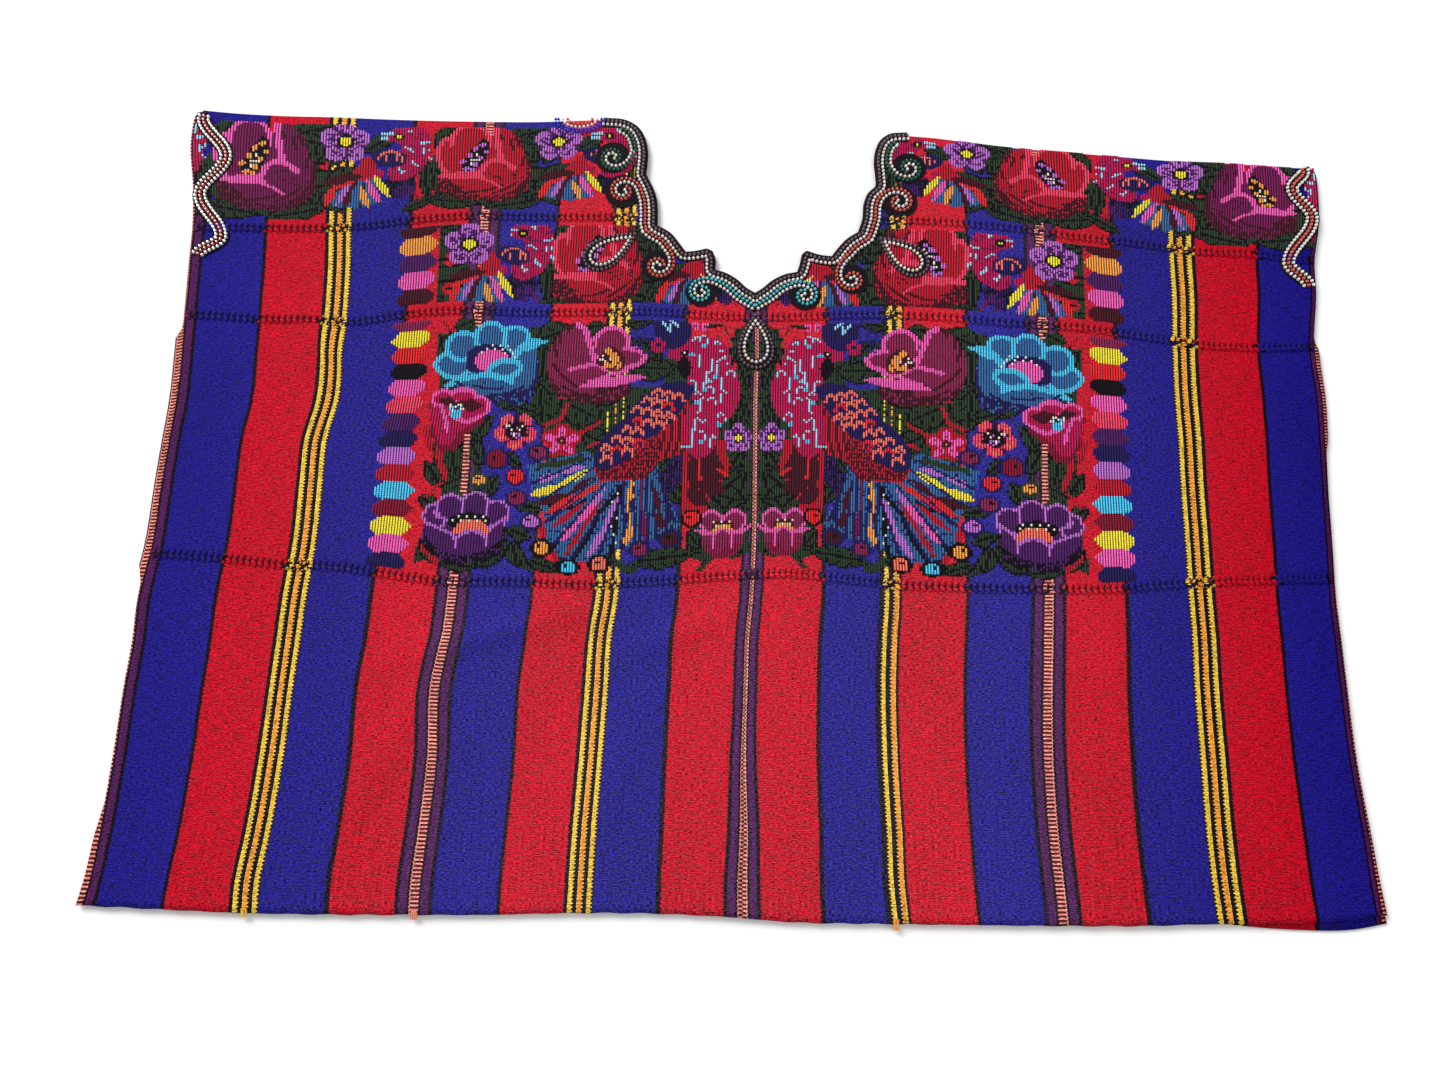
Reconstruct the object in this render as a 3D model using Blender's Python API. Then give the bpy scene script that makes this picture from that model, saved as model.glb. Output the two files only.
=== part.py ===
"""A huipil blouse of two handwoven lengths, laid flat with its front up.

Metres. +X runs to the right as the blouse is seen from above, +Y from the hem
to the shoulders and +Z up. The origin is the middle of the plan, at the
underside. The tables below are in millimetres: x from about the middle of the
width, y from the front hem's lowest point.
"""
import math
from collections import namedtuple

import bmesh
import bpy

MM = 0.001

# The plan: the back hem's lowest and the shoulders' highest y, and the middle of the whole
BACK_HEM_Y = -3.6
SHOULDER_TOP_Y = 634.8
MIDDLE_X = 0.6
MIDDLE_Y = (BACK_HEM_Y + SHOULDER_TOP_Y) / 2

# The cloth
CLOTH = 1.5
LAYER_GAP = 0.8
SEAM_GAP = 0.3
SEAM_BLEND = 26.0
TOP = 2 * CLOTH + LAYER_GAP
BEND_STEPS = 4
BEND_MARGIN = 0.4
COLUMNS = 12
FRONT_ROWS = 18
BACK_ROWS = 9
SETTLING_ROUNDS = 4

# The beaded trim, 0.3 mm above the cloth
TRIM_GAP = 0.3
TRIM_THICK = 1.0
NECK_BAND = 10.5
NECK_MIDDLE_Y = 590.0
WAVE_BAND = 8.5
WAVE_STEPS = 6
SCROLL_SIDES = 14
DROP_POINTS = 20
DROP_BAND = 5.5
TEARDROP_PEAK = 0.77
SHOULDER_CLEARANCE = 3.0

# The side edges of both lengths and the seam between them, from the hem up
Section = namedtuple("Section", "y left_front left_back seam right")
SECTIONS = [
    Section(0, -455, -456, -9, 420),
    Section(55, -450, -450, -8, 418),
    Section(110, -445, -445, -8, 416),
    Section(165, -445, -445, -6, 417),
    Section(222, -445, -446, -2, 419),
    Section(266, -440, -445, 0, 423),
    Section(310, -438, -445, 1.5, 427),
    Section(344, -438, -444, 2, 432),
    Section(377, -441, -440, 3, 435),
    Section(420, -444, -442, 4, 437),
    Section(490, -443, -442, 3, 443),
    Section(530, -444, -443, 3, 452),
    Section(563, -448, -447, 3, 456),
    Section(600, -455, -454, 3, 456),
    Section(635, -454, -454, 3, 453),
]

# The hems and the shoulder fold, from left to right
Edge = namedtuple("Edge", "x front_hem back_hem shoulder")
EDGES = [
    Edge(-456, 13, 13, 635),
    Edge(-400, 11, 12, 629.5),
    Edge(-330, 8, 9, 627),
    Edge(-225, 7, 8, 624),
    Edge(-117, 8, 9, 625),
    Edge(-9, 5, 6, 625),
    Edge(10, 3, 4, 611),
    Edge(117, 1, 2, 611),
    Edge(228, 0, 1, 597),
    Edge(316, 1, 0, 589),
    Edge(360, 1, -3, 585),
    Edge(400, 4, -3, 583),
    Edge(420, 8, 2, 582),
    Edge(456, 9, 4, 580),
]

# The scalloped neck edge, from the point of the V up to each shoulder
Neck = namedtuple("Neck", "left_x left_y right_x right_y")
NECK = [
    Neck(3, 466, 3, 466),
    Neck(-4, 470.5, 9, 470),
    Neck(-11, 477.5, 17, 477),
    Neck(-20, 483, 26, 482),
    Neck(-29, 486.5, 37, 484.5),
    Neck(-28.5, 497, 40, 494),
    Neck(-33, 502.5, 43.5, 500),
    Neck(-42, 504, 53, 501.5),
    Neck(-51, 505.5, 63, 503),
    Neck(-58, 511, 70, 507),
    Neck(-65, 519, 78, 515),
    Neck(-75, 526, 86, 520),
    Neck(-74, 538, 90, 533),
    Neck(-77, 553, 94, 551),
    Neck(-85, 573, 102, 562),
    Neck(-83, 586, 100.5, 575),
    Neck(-84.5, 600, 102, 590),
    Neck(-88, 613, 106, 603),
    Neck(-98, 622, 111, 608.5),
    Neck(-118, 625, 120, 611),
]

# Soft folds of the front: middle, direction in degrees from +X, half length, half width, height
Fold = namedtuple("Fold", "x y turn length width height")
FOLDS = [
    Fold(-318, 418, -38, 62, 22, 2.2),
    Fold(-190, 205, 12, 74, 20, 2.0),
    Fold(-68, 204, -14, 52, 18, 1.7),
    Fold(208, 150, 82, 62, 20, 1.5),
]

# The turns of the beaded wave at each armhole: y, and how far inside the cloth's edge
Turn = namedtuple("Turn", "y inset")
LEFT_WAVE = [Turn(627, 8), Turn(590, 29), Turn(554, 6), Turn(515, 24), Turn(500, 7)]
RIGHT_WAVE = [Turn(577, 9), Turn(559, 21), Turn(532, 6), Turn(493, 21), Turn(472, 6)]

# The beaded scrolls beside the neck, and the drops that hang from it
Scroll = namedtuple("Scroll", "x y radius")
LEFT_SCROLLS = [
    Scroll(-111, 588, 11.5), Scroll(-101, 556, 10.5), Scroll(-73, 490, 11), Scroll(-40, 465, 10.5),
]
RIGHT_SCROLLS = [
    Scroll(129, 576, 11.5), Scroll(120, 545, 10.5), Scroll(78, 476, 11), Scroll(43, 463.5, 10.5),
]
Drop = namedtuple("Drop", "name tip_x tip_y end_x end_y width")
DROPS = [
    Drop("bead_drop_left", -93, 518, -129, 494, 26),
    Drop("bead_drop_right", 106, 512, 137, 482, 26),
    Drop("bead_drop_centre", 3.5, 450, 3.2, 400, 25),
]


def read(table, key, column, at):
    """Value of a table's column at a place on its key column, on a smooth curve."""
    rows = [(getattr(row, key), getattr(row, column)) for row in table]
    at = min(max(at, rows[0][0]), rows[-1][0])
    i = next(k for k in range(len(rows) - 1) if at <= rows[k + 1][0])
    before, low, high, after = rows[max(i - 1, 0)], rows[i], rows[i + 1], rows[min(i + 2, len(rows) - 1)]
    span = high[0] - low[0]
    leave = (high[1] - before[1]) / (high[0] - before[0]) * span
    arrive = (after[1] - low[1]) / (after[0] - low[0]) * span
    t = (at - low[0]) / span
    return ((2 * t**3 - 3 * t**2 + 1) * low[1] + (t**3 - 2 * t**2 + t) * leave
            + (3 * t**2 - 2 * t**3) * high[1] + (t**3 - t**2) * arrive)


def neck_points(side):
    """The neck edge of one side, from the V up."""
    if side == "left":
        return [(row.left_x, row.left_y) for row in NECK]
    return [(row.right_x, row.right_y) for row in NECK]


def neck_shares(side):
    """How far along the neck edge each of its points lies, from 0 at the V to 1 at the shoulder."""
    points = neck_points(side)
    run = [0.0]
    for a, b in zip(points, points[1:]):
        run.append(run[-1] + math.dist(a, b))
    return [length / run[-1] for length in run]


def outer_edge(side, leaf, y):
    """x of a length's outer selvedge."""
    column = "right" if side == "right" else "left_" + leaf
    return read(SECTIONS, "y", column, y)


def seam_edge(side, y):
    """x of a length's edge at the centre seam, which keeps its gap to the other length."""
    half_gap = SEAM_GAP / 2 if side == "right" else -SEAM_GAP / 2
    return read(SECTIONS, "y", "seam", y) + half_gap


def body_point(side, leaf, across, up):
    """Plan point between the hem (up 0) and the level of the V (up 1)."""
    level = NECK[0].left_y
    x, y = 0.0, up * level
    for _ in range(SETTLING_ROUNDS):
        outer = outer_edge(side, leaf, y)
        x = outer + across * (seam_edge(side, y) - outer)
        hem = read(EDGES, "x", leaf + "_hem", x)
        y = hem + up * (level - hem)
    return x, y


def yoke_point(side, leaf, across, row):
    """Plan point on a row that runs from the outer edge to one point of the neck edge."""
    level = NECK[0].left_y
    neck_x, neck_y = neck_points(side)[row]
    if row == 0:
        neck_x += SEAM_GAP / 2 if side == "right" else -SEAM_GAP / 2
    share = neck_shares(side)[row]
    x, y = neck_x, neck_y
    for _ in range(SETTLING_ROUNDS):
        outer = outer_edge(side, leaf, y)
        x = outer + across * (neck_x - outer)
        y = level + share * (read(EDGES, "x", "shoulder", x) - level)
    at_neck = level + share * (read(EDGES, "x", "shoulder", neck_x) - level)
    return x, y + (neck_y - at_neck) * across**4


def fold_height(x, y):
    """How far the soft folds lift the front above its level."""
    height = 0.0
    for fold in FOLDS:
        turn = math.radians(fold.turn)
        along = (x - fold.x) * math.cos(turn) + (y - fold.y) * math.sin(turn)
        aside = (y - fold.y) * math.cos(turn) - (x - fold.x) * math.sin(turn)
        height += fold.height * math.exp(-(along / fold.length) ** 2 - (aside / fold.width) ** 2)
    return height


def front_top(side, x, y):
    """Height of the front's upper face, which comes down where the side seam closes."""
    armhole = (LEFT_WAVE if side == "left" else RIGHT_WAVE)[-1].y
    inward = abs(x - outer_edge(side, "front", y))
    closed = max(0.0, 1 - inward / SEAM_BLEND) * min(1.0, max(0.0, (armhole - y) / SEAM_BLEND))
    return TOP + fold_height(x, y) * min(1.0, inward / SEAM_BLEND) - (LAYER_GAP - SEAM_GAP) * closed


def sheet_rows(side):
    """The rows of a length's outer face: up the front, over the shoulder, down the back."""
    last = len(NECK) - 1
    front = [("front", "body", j / FRONT_ROWS) for j in range(FRONT_ROWS)]
    front += [("front", "yoke", k) for k in range(last)]
    bend = [("bend", "yoke", 90 - 180 * k / BEND_STEPS) for k in range(BEND_STEPS + 1)]
    back = [("back", "yoke", k) for k in range(last - 1, -1, -1)]
    back += [("back", "body", 1 - (j + 1) / BACK_ROWS) for j in range(BACK_ROWS)]
    return front + bend + back


def sheet_point(side, row, across):
    """One point of a length's outer face, in millimetres."""
    leaf, part, value = row
    if leaf == "bend":
        x, y = yoke_point(side, "front", across, len(NECK) - 1)
        turn = math.radians(value)
        radius = TOP / 2
        return x, y - radius + radius * math.cos(turn), radius + radius * math.sin(turn)
    if part == "body":
        x, y = body_point(side, leaf, across, value)
    else:
        x, y = yoke_point(side, leaf, across, value)
        y = min(y, read(EDGES, "x", "shoulder", x) - TOP / 2 - BEND_MARGIN)
    return x, y, front_top(side, x, y) if leaf == "front" else 0.0


def to_part(x, y, z):
    """Table millimetres to the part's own metres."""
    return (x - MIDDLE_X) * MM, (y - MIDDLE_Y) * MM, z * MM


def material(name, colour, roughness):
    """A plain cloth or bead finish."""
    finish = bpy.data.materials.new(name)
    finish.use_nodes = True
    shader = finish.node_tree.nodes["Principled BSDF"]
    shader.inputs["Base Color"].default_value = (*colour, 1)
    shader.inputs["Roughness"].default_value = roughness
    finish.diffuse_color = (*colour, 1)
    return finish


def place_grid(bm, columns, rows, point):
    """Make a grid and put each of its vertices where point(column, row) says."""
    bmesh.ops.create_grid(bm, x_segments=columns, y_segments=rows, size=1)
    for vertex in bm.verts:
        column = round((vertex.co.x + 1) / 2 * columns)
        row = round((vertex.co.y + 1) / 2 * rows)
        vertex.co = to_part(*point(column, row))
    bm.normal_update()


def finish_object(name, bm, finish, thickness, outward):
    """Turn a sheet into a solid wall: inward keeps its points as the outer face."""
    mesh = bpy.data.meshes.new(name)
    bm.to_mesh(mesh)
    bm.free()
    mesh.materials.append(finish)
    solid = bpy.data.objects.new(name, mesh)
    bpy.context.collection.objects.link(solid)
    wall = solid.modifiers.new("wall", "SOLIDIFY")
    wall.thickness = thickness * MM
    wall.offset = 1 if outward else -1
    wall.use_even_offset = True
    return solid


def face_up(bm):
    """Turn a flat sheet's faces up."""
    down = [face for face in bm.faces if face.normal.z < 0]
    if len(down) > len(bm.faces) / 2:
        bmesh.ops.reverse_faces(bm, faces=bm.faces)


def make_length(side, finish):
    """One woven length: front, shoulder fold and back in one piece of cloth."""
    rows = sheet_rows(side)
    bm = bmesh.new()
    place_grid(bm, COLUMNS, len(rows) - 1, lambda i, j: sheet_point(side, rows[j], i / COLUMNS))
    highest = max(bm.faces, key=lambda face: face.calc_center_median().z)
    if highest.normal.z < 0:
        bmesh.ops.reverse_faces(bm, faces=bm.faces)
    return finish_object("lienzo_" + side, bm, finish, CLOTH, outward=False)


def trim_base(side, x, y):
    """Height of the underside of anything sewn on the front."""
    return front_top(side, x, y) + TRIM_GAP


def make_neck_band(side, finish):
    """The beaded border along one half of the neck edge."""
    edge = neck_points(side)[:-1]
    edge[0] = (edge[0][0] + (SEAM_GAP if side == "right" else -SEAM_GAP) / 2, edge[0][1])
    centre_x = NECK[0].left_x
    bm = bmesh.new()

    def point(i, j):
        x, y = edge[j]
        reach = math.hypot(x - centre_x, y - NECK_MIDDLE_Y)
        away_x = 0.0 if j == 0 else (x - centre_x) / reach
        away_y = -1.0 if j == 0 else (y - NECK_MIDDLE_Y) / reach
        x, y = x + i * NECK_BAND * away_x, y + i * NECK_BAND * away_y
        y = min(y, read(EDGES, "x", "shoulder", x) - SHOULDER_CLEARANCE)
        return x, y, trim_base(side, x, y)

    place_grid(bm, 1, len(edge) - 1, point)
    face_up(bm)
    return finish_object("neck_band_" + side, bm, finish, TRIM_THICK, outward=True)


def wave_path(side):
    """Centre line of an armhole's wave, eased from turn to turn."""
    turns = LEFT_WAVE if side == "left" else RIGHT_WAVE
    sign = 1 if side == "left" else -1
    path = []
    for a, b in zip(turns, turns[1:]):
        for k in range(WAVE_STEPS):
            t = k / WAVE_STEPS
            ease = (1 - math.cos(math.pi * t)) / 2
            y = a.y + (b.y - a.y) * t
            path.append((outer_edge(side, "front", y) + sign * (a.inset + (b.inset - a.inset) * ease), y))
    path.append((outer_edge(side, "front", turns[-1].y) + sign * turns[-1].inset, turns[-1].y))
    return path


def make_wave(side, finish):
    """The beaded wave that edges an armhole."""
    path = wave_path(side)
    bm = bmesh.new()

    def point(i, j):
        before, after = path[max(j - 1, 0)], path[min(j + 1, len(path) - 1)]
        run = math.dist(before, after)
        off = (i - 0.5) * WAVE_BAND
        x = path[j][0] + off * (after[1] - before[1]) / run
        y = path[j][1] - off * (after[0] - before[0]) / run
        return x, y, trim_base(side, x, y)

    place_grid(bm, 1, len(path) - 1, point)
    face_up(bm)
    return finish_object("armhole_wave_" + side, bm, finish, TRIM_THICK, outward=True)


def make_scroll(side, number, scroll, finish):
    """One round beaded scroll, as a flat raised disc."""
    bm = bmesh.new()
    bmesh.ops.create_circle(bm, cap_ends=True, segments=SCROLL_SIDES, radius=scroll.radius)
    for vertex in bm.verts:
        x, y = scroll.x + vertex.co.x, scroll.y + vertex.co.y
        vertex.co = to_part(x, y, trim_base(side, scroll.x, scroll.y))
    bm.normal_update()
    face_up(bm)
    return finish_object(f"bead_scroll_{side}_{number}", bm, finish, TRIM_THICK, outward=True)


def drop_loop(drop, shrink):
    """Outline of a drop: a teardrop curve from its tip to its round end."""
    axis_x, axis_y = drop.end_x - drop.tip_x, drop.end_y - drop.tip_y
    length = math.hypot(axis_x, axis_y)
    axis_x, axis_y = axis_x / length, axis_y / length
    loop = []
    for k in range(DROP_POINTS):
        turn = 2 * math.pi * k / DROP_POINTS
        along = length / 2 - (length / 2 - shrink) * math.cos(turn)
        along += shrink * (1 + math.cos(turn)) / 2
        aside = (drop.width / 2 - shrink) * math.sin(turn) * math.sin(turn / 2) / TEARDROP_PEAK
        loop.append((drop.tip_x + along * axis_x - aside * axis_y, drop.tip_y + along * axis_y + aside * axis_x))
    return loop


def make_drop(drop, finish):
    """One beaded drop: a flat teardrop ring on the front."""
    side = "right" if drop.tip_x > SECTIONS[-1].seam else "left"
    bm = bmesh.new()
    for shrink in (0.0, DROP_BAND):
        made = bmesh.ops.create_circle(bm, cap_ends=False, segments=DROP_POINTS, radius=1)["verts"]
        for vertex, (x, y) in zip(made, drop_loop(drop, shrink)):
            vertex.co = to_part(x, y, trim_base(side, drop.tip_x, drop.tip_y))
    bmesh.ops.bridge_loops(bm, edges=bm.edges)
    bm.normal_update()
    face_up(bm)
    return finish_object(drop.name, bm, finish, TRIM_THICK, outward=True)


def main():
    """Clear the scene and build the blouse."""
    for old in list(bpy.data.objects):
        bpy.data.objects.remove(old, do_unlink=True)
    weave_left = material("woven cotton left", (0.25, 0.01, 0.10), 0.85)
    weave_right = material("woven cotton right", (0.06, 0.02, 0.30), 0.85)
    border = material("beaded border", (0.03, 0.02, 0.03), 0.45)
    beads = material("beads", (0.75, 0.70, 0.66), 0.30)
    for side, weave in (("left", weave_left), ("right", weave_right)):
        make_length(side, weave)
        make_neck_band(side, border)
        make_wave(side, beads)
        scrolls = LEFT_SCROLLS if side == "left" else RIGHT_SCROLLS
        for number, scroll in enumerate(scrolls, start=1):
            make_scroll(side, number, scroll, beads)
    for drop in DROPS:
        make_drop(drop, beads)


main()
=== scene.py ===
"""Looks of a handwoven huipil blouse, laid flat with its front up.

The cloth, brocade, twined rows and bead work are built in metres around the
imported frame. Woven coordinates run across a length of cloth (u, from the
centre seam out) and along it (v, from the front hem up). Plan coordinates are
the laid blouse seen from above.
"""

import logging
import math
from dataclasses import dataclass
from enum import Enum
from typing import Callable, ClassVar, NamedTuple, Sequence

import bmesh
import bpy
import numpy as np
from mathutils import Matrix, Vector


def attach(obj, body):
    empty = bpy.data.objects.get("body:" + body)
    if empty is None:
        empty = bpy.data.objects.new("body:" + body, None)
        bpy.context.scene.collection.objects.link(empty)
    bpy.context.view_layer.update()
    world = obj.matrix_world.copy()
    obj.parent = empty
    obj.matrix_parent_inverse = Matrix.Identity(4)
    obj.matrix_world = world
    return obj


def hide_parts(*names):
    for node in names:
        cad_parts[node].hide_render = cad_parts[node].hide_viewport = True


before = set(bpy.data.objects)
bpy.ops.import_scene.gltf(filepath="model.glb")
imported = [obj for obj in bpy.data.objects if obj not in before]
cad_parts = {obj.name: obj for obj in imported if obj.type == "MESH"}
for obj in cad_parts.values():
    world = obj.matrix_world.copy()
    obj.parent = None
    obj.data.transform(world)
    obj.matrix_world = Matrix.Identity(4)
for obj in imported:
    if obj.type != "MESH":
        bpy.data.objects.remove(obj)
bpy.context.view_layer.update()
LOG = logging.getLogger("huipil")

MM = 0.001
BODY = "root"

# The plan tables are in millimetres; this point of them is the part's origin
MIDDLE_X = 0.6
MIDDLE_Y = 315.6

# Heights of the laid cloth, in millimetres
CLOTH = 1.5
LAYER_GAP = 0.8
TOP = 2 * CLOTH + LAYER_GAP
SEAM_DROP = 0.5
SEAM_BLEND = 26.0


class Side(Enum):
    """Which length of cloth, as the laid blouse is seen from above."""

    LEFT = -1
    RIGHT = 1

    @property
    def word(self) -> str:
        """The side's name in lower case."""
        return self.name.lower()


class Warp(NamedTuple):
    """Where the main stripes cross one level of the plan, in millimetres."""

    y: float
    left_edge: float
    left_outer: float
    left_ladder: float
    left_inner: float
    seam: float
    right_inner: float
    right_ladder: float
    right_outer: float
    right_edge: float


class Weft(NamedTuple):
    """Where the hem, the twined rows and the shoulder fold cross one upright of the plan."""

    x: float
    hem: float
    low_row: float
    middle_row: float
    high_row: float
    shoulder: float


class Selvedge(NamedTuple):
    """How far out the cloth shows at one level: u of the front and back edges."""

    y: float
    left_front: float
    left_back: float
    right: float


class NeckPoint(NamedTuple):
    """One point of the scalloped neck edge on each side, and whether it is a corner."""

    left_x: float
    left_y: float
    right_x: float
    right_y: float
    corner: bool


class SoftFold(NamedTuple):
    """A soft fold of the front, in millimetres and degrees."""

    x: float
    y: float
    turn: float
    length: float
    width: float
    height: float


WARPS = [
    Warp(0, -459, -341, -228, -119, -9, 96, 204, 316, 421),
    Warp(29, -454, -342, -228, -118, -9, 94, 203, 315, 420),
    Warp(55, -452, -339, -226, -117, -8, 94, 202, 315, 420),
    Warp(108, -450.2, -335, -223, -114, -8, 93, 202, 317, 418.5),
    Warp(164, -449.7, -333, -224, -111, -6, 94, 206, 319, 420),
    Warp(192, -448.7, -332, -219, -110, -5, 96, 209, 321, 421),
    Warp(222, -449.5, -331, -217, -106, -2, 99, 212, 322, 422),
    Warp(266, -445.5, -328, -216, -105, 0.5, 99.5, 215, 324, 426),
    Warp(313, -445, -328, -214, -104.5, 1.5, 102, 217, 326, 430),
    Warp(344, -444.3, -328, -214, -104, 2, 105, 219, 328, 433),
    Warp(377, -443.3, -322, -213, -104, 2.5, 107, 221, 329, 435.7),
    Warp(418, -444.8, -322, -212, -103, 4, 109, 224, 332, 436.2),
    Warp(469, -447.5, -323, -211, -101, 3.5, 112, 226, 337, 445),
    Warp(491, -448.5, -324, -211, -100, 3, 114, 227, 338, 447),
    Warp(527, -450, -327, -211, -99, 3, 117, 229, 341, 456),
    Warp(563, -454.5, -329, -211, -99, 3, 119, 230, 348, 460),
    Warp(600, -461.5, -331, -212, -99, 3, 121, 231, 352, 460),
    Warp(635, -462, -333, -212, -99, 3, 123, 232, 356, 457),
]
LINE_U = [0.0, 110.0, 220.0, 330.0]

WEFTS = [
    Weft(-456, 13, 257, 448, 525, 635),
    Weft(-430, 12, 256, 448, 524.5, 632),
    Weft(-388, 10, 253, 445, 524, 629),
    Weft(-338, 8, 248, 443, 524, 627.5),
    Weft(-309, 7.5, 247, 442, 525.5, 626),
    Weft(-271, 7, 242, 448, 531, 624.5),
    Weft(-229, 7, 236, 452, 535, 623.5),
    Weft(-175, 7, 235, 450, 534, 623),
    Weft(-131, 8, 233, 450, 534, 624.5),
    Weft(-80, 8, 235, 451, 534, 625),
    Weft(-26, 6, 239, 447, 533, 622),
    Weft(31, 2, 241, 446, 532, 615),
    Weft(68, 1.5, 237, 447.5, 531, 611),
    Weft(104, 1, 233, 448, 531, 611),
    Weft(147, 0.5, 231, 446, 530, 608),
    Weft(200, 0, 230, 441, 525, 600),
    Weft(260, 0, 230, 436.5, 516, 594),
    Weft(300, 1, 233, 430, 511, 590),
    Weft(343, 1, 235.5, 423, 504, 586),
    Weft(392, 3, 237, 420, 501, 583.5),
    Weft(434, 8, 238, 421, 496, 580),
    Weft(456, 9, 238, 421, 495, 579),
]
ROW_V = [0.0, 240.0, 447.0, 530.0, 625.0]
LOW_ROW, MIDDLE_ROW, HIGH_ROW, SHOULDER = ROW_V[1:]

SELVEDGES = [
    Selvedge(0, 441, 441, 441),
    Selvedge(58, 440.3, 441, 439),
    Selvedge(80, 437.4, 437.6, 438.6),
    Selvedge(232, 437.4, 437.6, 438),
    Selvedge(246, 438, 443, 438),
    Selvedge(300, 438, 443, 437.5),
    Selvedge(335, 438, 443, 438),
    Selvedge(345, 438, 443, 440),
    Selvedge(418, 438, 443, 441),
    Selvedge(426, 438, 443, 437),
    Selvedge(437, 438, 443, 437),
    Selvedge(439, 437.5, 437.5, 437),
    Selvedge(571, 437.5, 437.5, 437),
    Selvedge(576, 437.5, 437.5, 436),
    Selvedge(579.5, 437.5, 437.5, 433),
    Selvedge(580, 437.5, 437.5, 433),
    Selvedge(625, 437.5, 437.5, 433),
    Selvedge(630, 436.4, 436.4, 433),
    Selvedge(633.5, 433, 433, 433),
    Selvedge(636, 429, 429, 433),
]
OUTER_U = {Side.LEFT: 443.0, Side.RIGHT: 441.0}

NECK = [
    NeckPoint(3, 466, 3, 466, True),
    NeckPoint(-4, 470.5, 9, 470, False),
    NeckPoint(-11, 477.5, 17, 477, False),
    NeckPoint(-19, 483, 26, 482, False),
    NeckPoint(-29, 486.5, 37, 484.5, True),
    NeckPoint(-29, 497, 39, 491, False),
    NeckPoint(-31, 503, 41, 500, True),
    NeckPoint(-35, 505, 44, 503, True),
    NeckPoint(-43, 503, 54, 499.5, False),
    NeckPoint(-52, 502, 64, 498, True),
    NeckPoint(-58, 511, 69.5, 505.5, False),
    NeckPoint(-64, 519, 77, 514, False),
    NeckPoint(-75, 526, 86, 520, True),
    NeckPoint(-75, 538, 90, 533, False),
    NeckPoint(-76, 550, 91.5, 546, False),
    NeckPoint(-79, 560, 95, 555, False),
    NeckPoint(-85, 573, 102, 562, True),
    NeckPoint(-84, 583, 101.5, 573, False),
    NeckPoint(-84, 596, 101, 584, False),
    NeckPoint(-86.5, 607, 103, 596, False),
    NeckPoint(-92, 617, 107, 604.5, False),
    NeckPoint(-101, 623, 113, 609.5, False),
    NeckPoint(-119, 625.5, 128, 611.5, True),
]

SOFT_FOLDS = [
    SoftFold(-318, 418, -38, 62, 12, 3.2),
    SoftFold(-186, 196, 16, 62, 9, 3.2),
    SoftFold(-60, 194, 22, 46, 9, 2.9),
    SoftFold(-126, 212, -24, 40, 9, 2.2),
    SoftFold(-246, 130, 64, 70, 12, 2.2),
    SoftFold(-96, 96, 70, 60, 12, 1.9),
    SoftFold(208, 150, 82, 62, 13, 2.3),
]


def smooth(knots: Sequence[float], values: Sequence[float], at: np.ndarray) -> np.ndarray:
    """Read a table on a smooth curve through its rows.

    Args:
        knots: Rising places of the rows.
        values: What the table says there.
        at: Places to read.

    Returns:
        The value at each place, held level past both ends.
    """
    knots, values = np.asarray(knots, float), np.asarray(values, float)
    at = np.clip(at, knots[0], knots[-1])
    i = np.clip(np.searchsorted(knots, at, side="right") - 1, 0, len(knots) - 2)
    slopes = np.gradient(values, knots)
    span = knots[i + 1] - knots[i]
    t = (at - knots[i]) / span
    return ((2 * t**3 - 3 * t**2 + 1) * values[i] + (t**3 - 2 * t**2 + t) * slopes[i] * span
            + (3 * t**2 - 2 * t**3) * values[i + 1] + (t**3 - t**2) * slopes[i + 1] * span)


def column(table: Sequence[NamedTuple], name: str) -> np.ndarray:
    """One named column of a table."""
    return np.array([getattr(row, name) for row in table], float)


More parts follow.
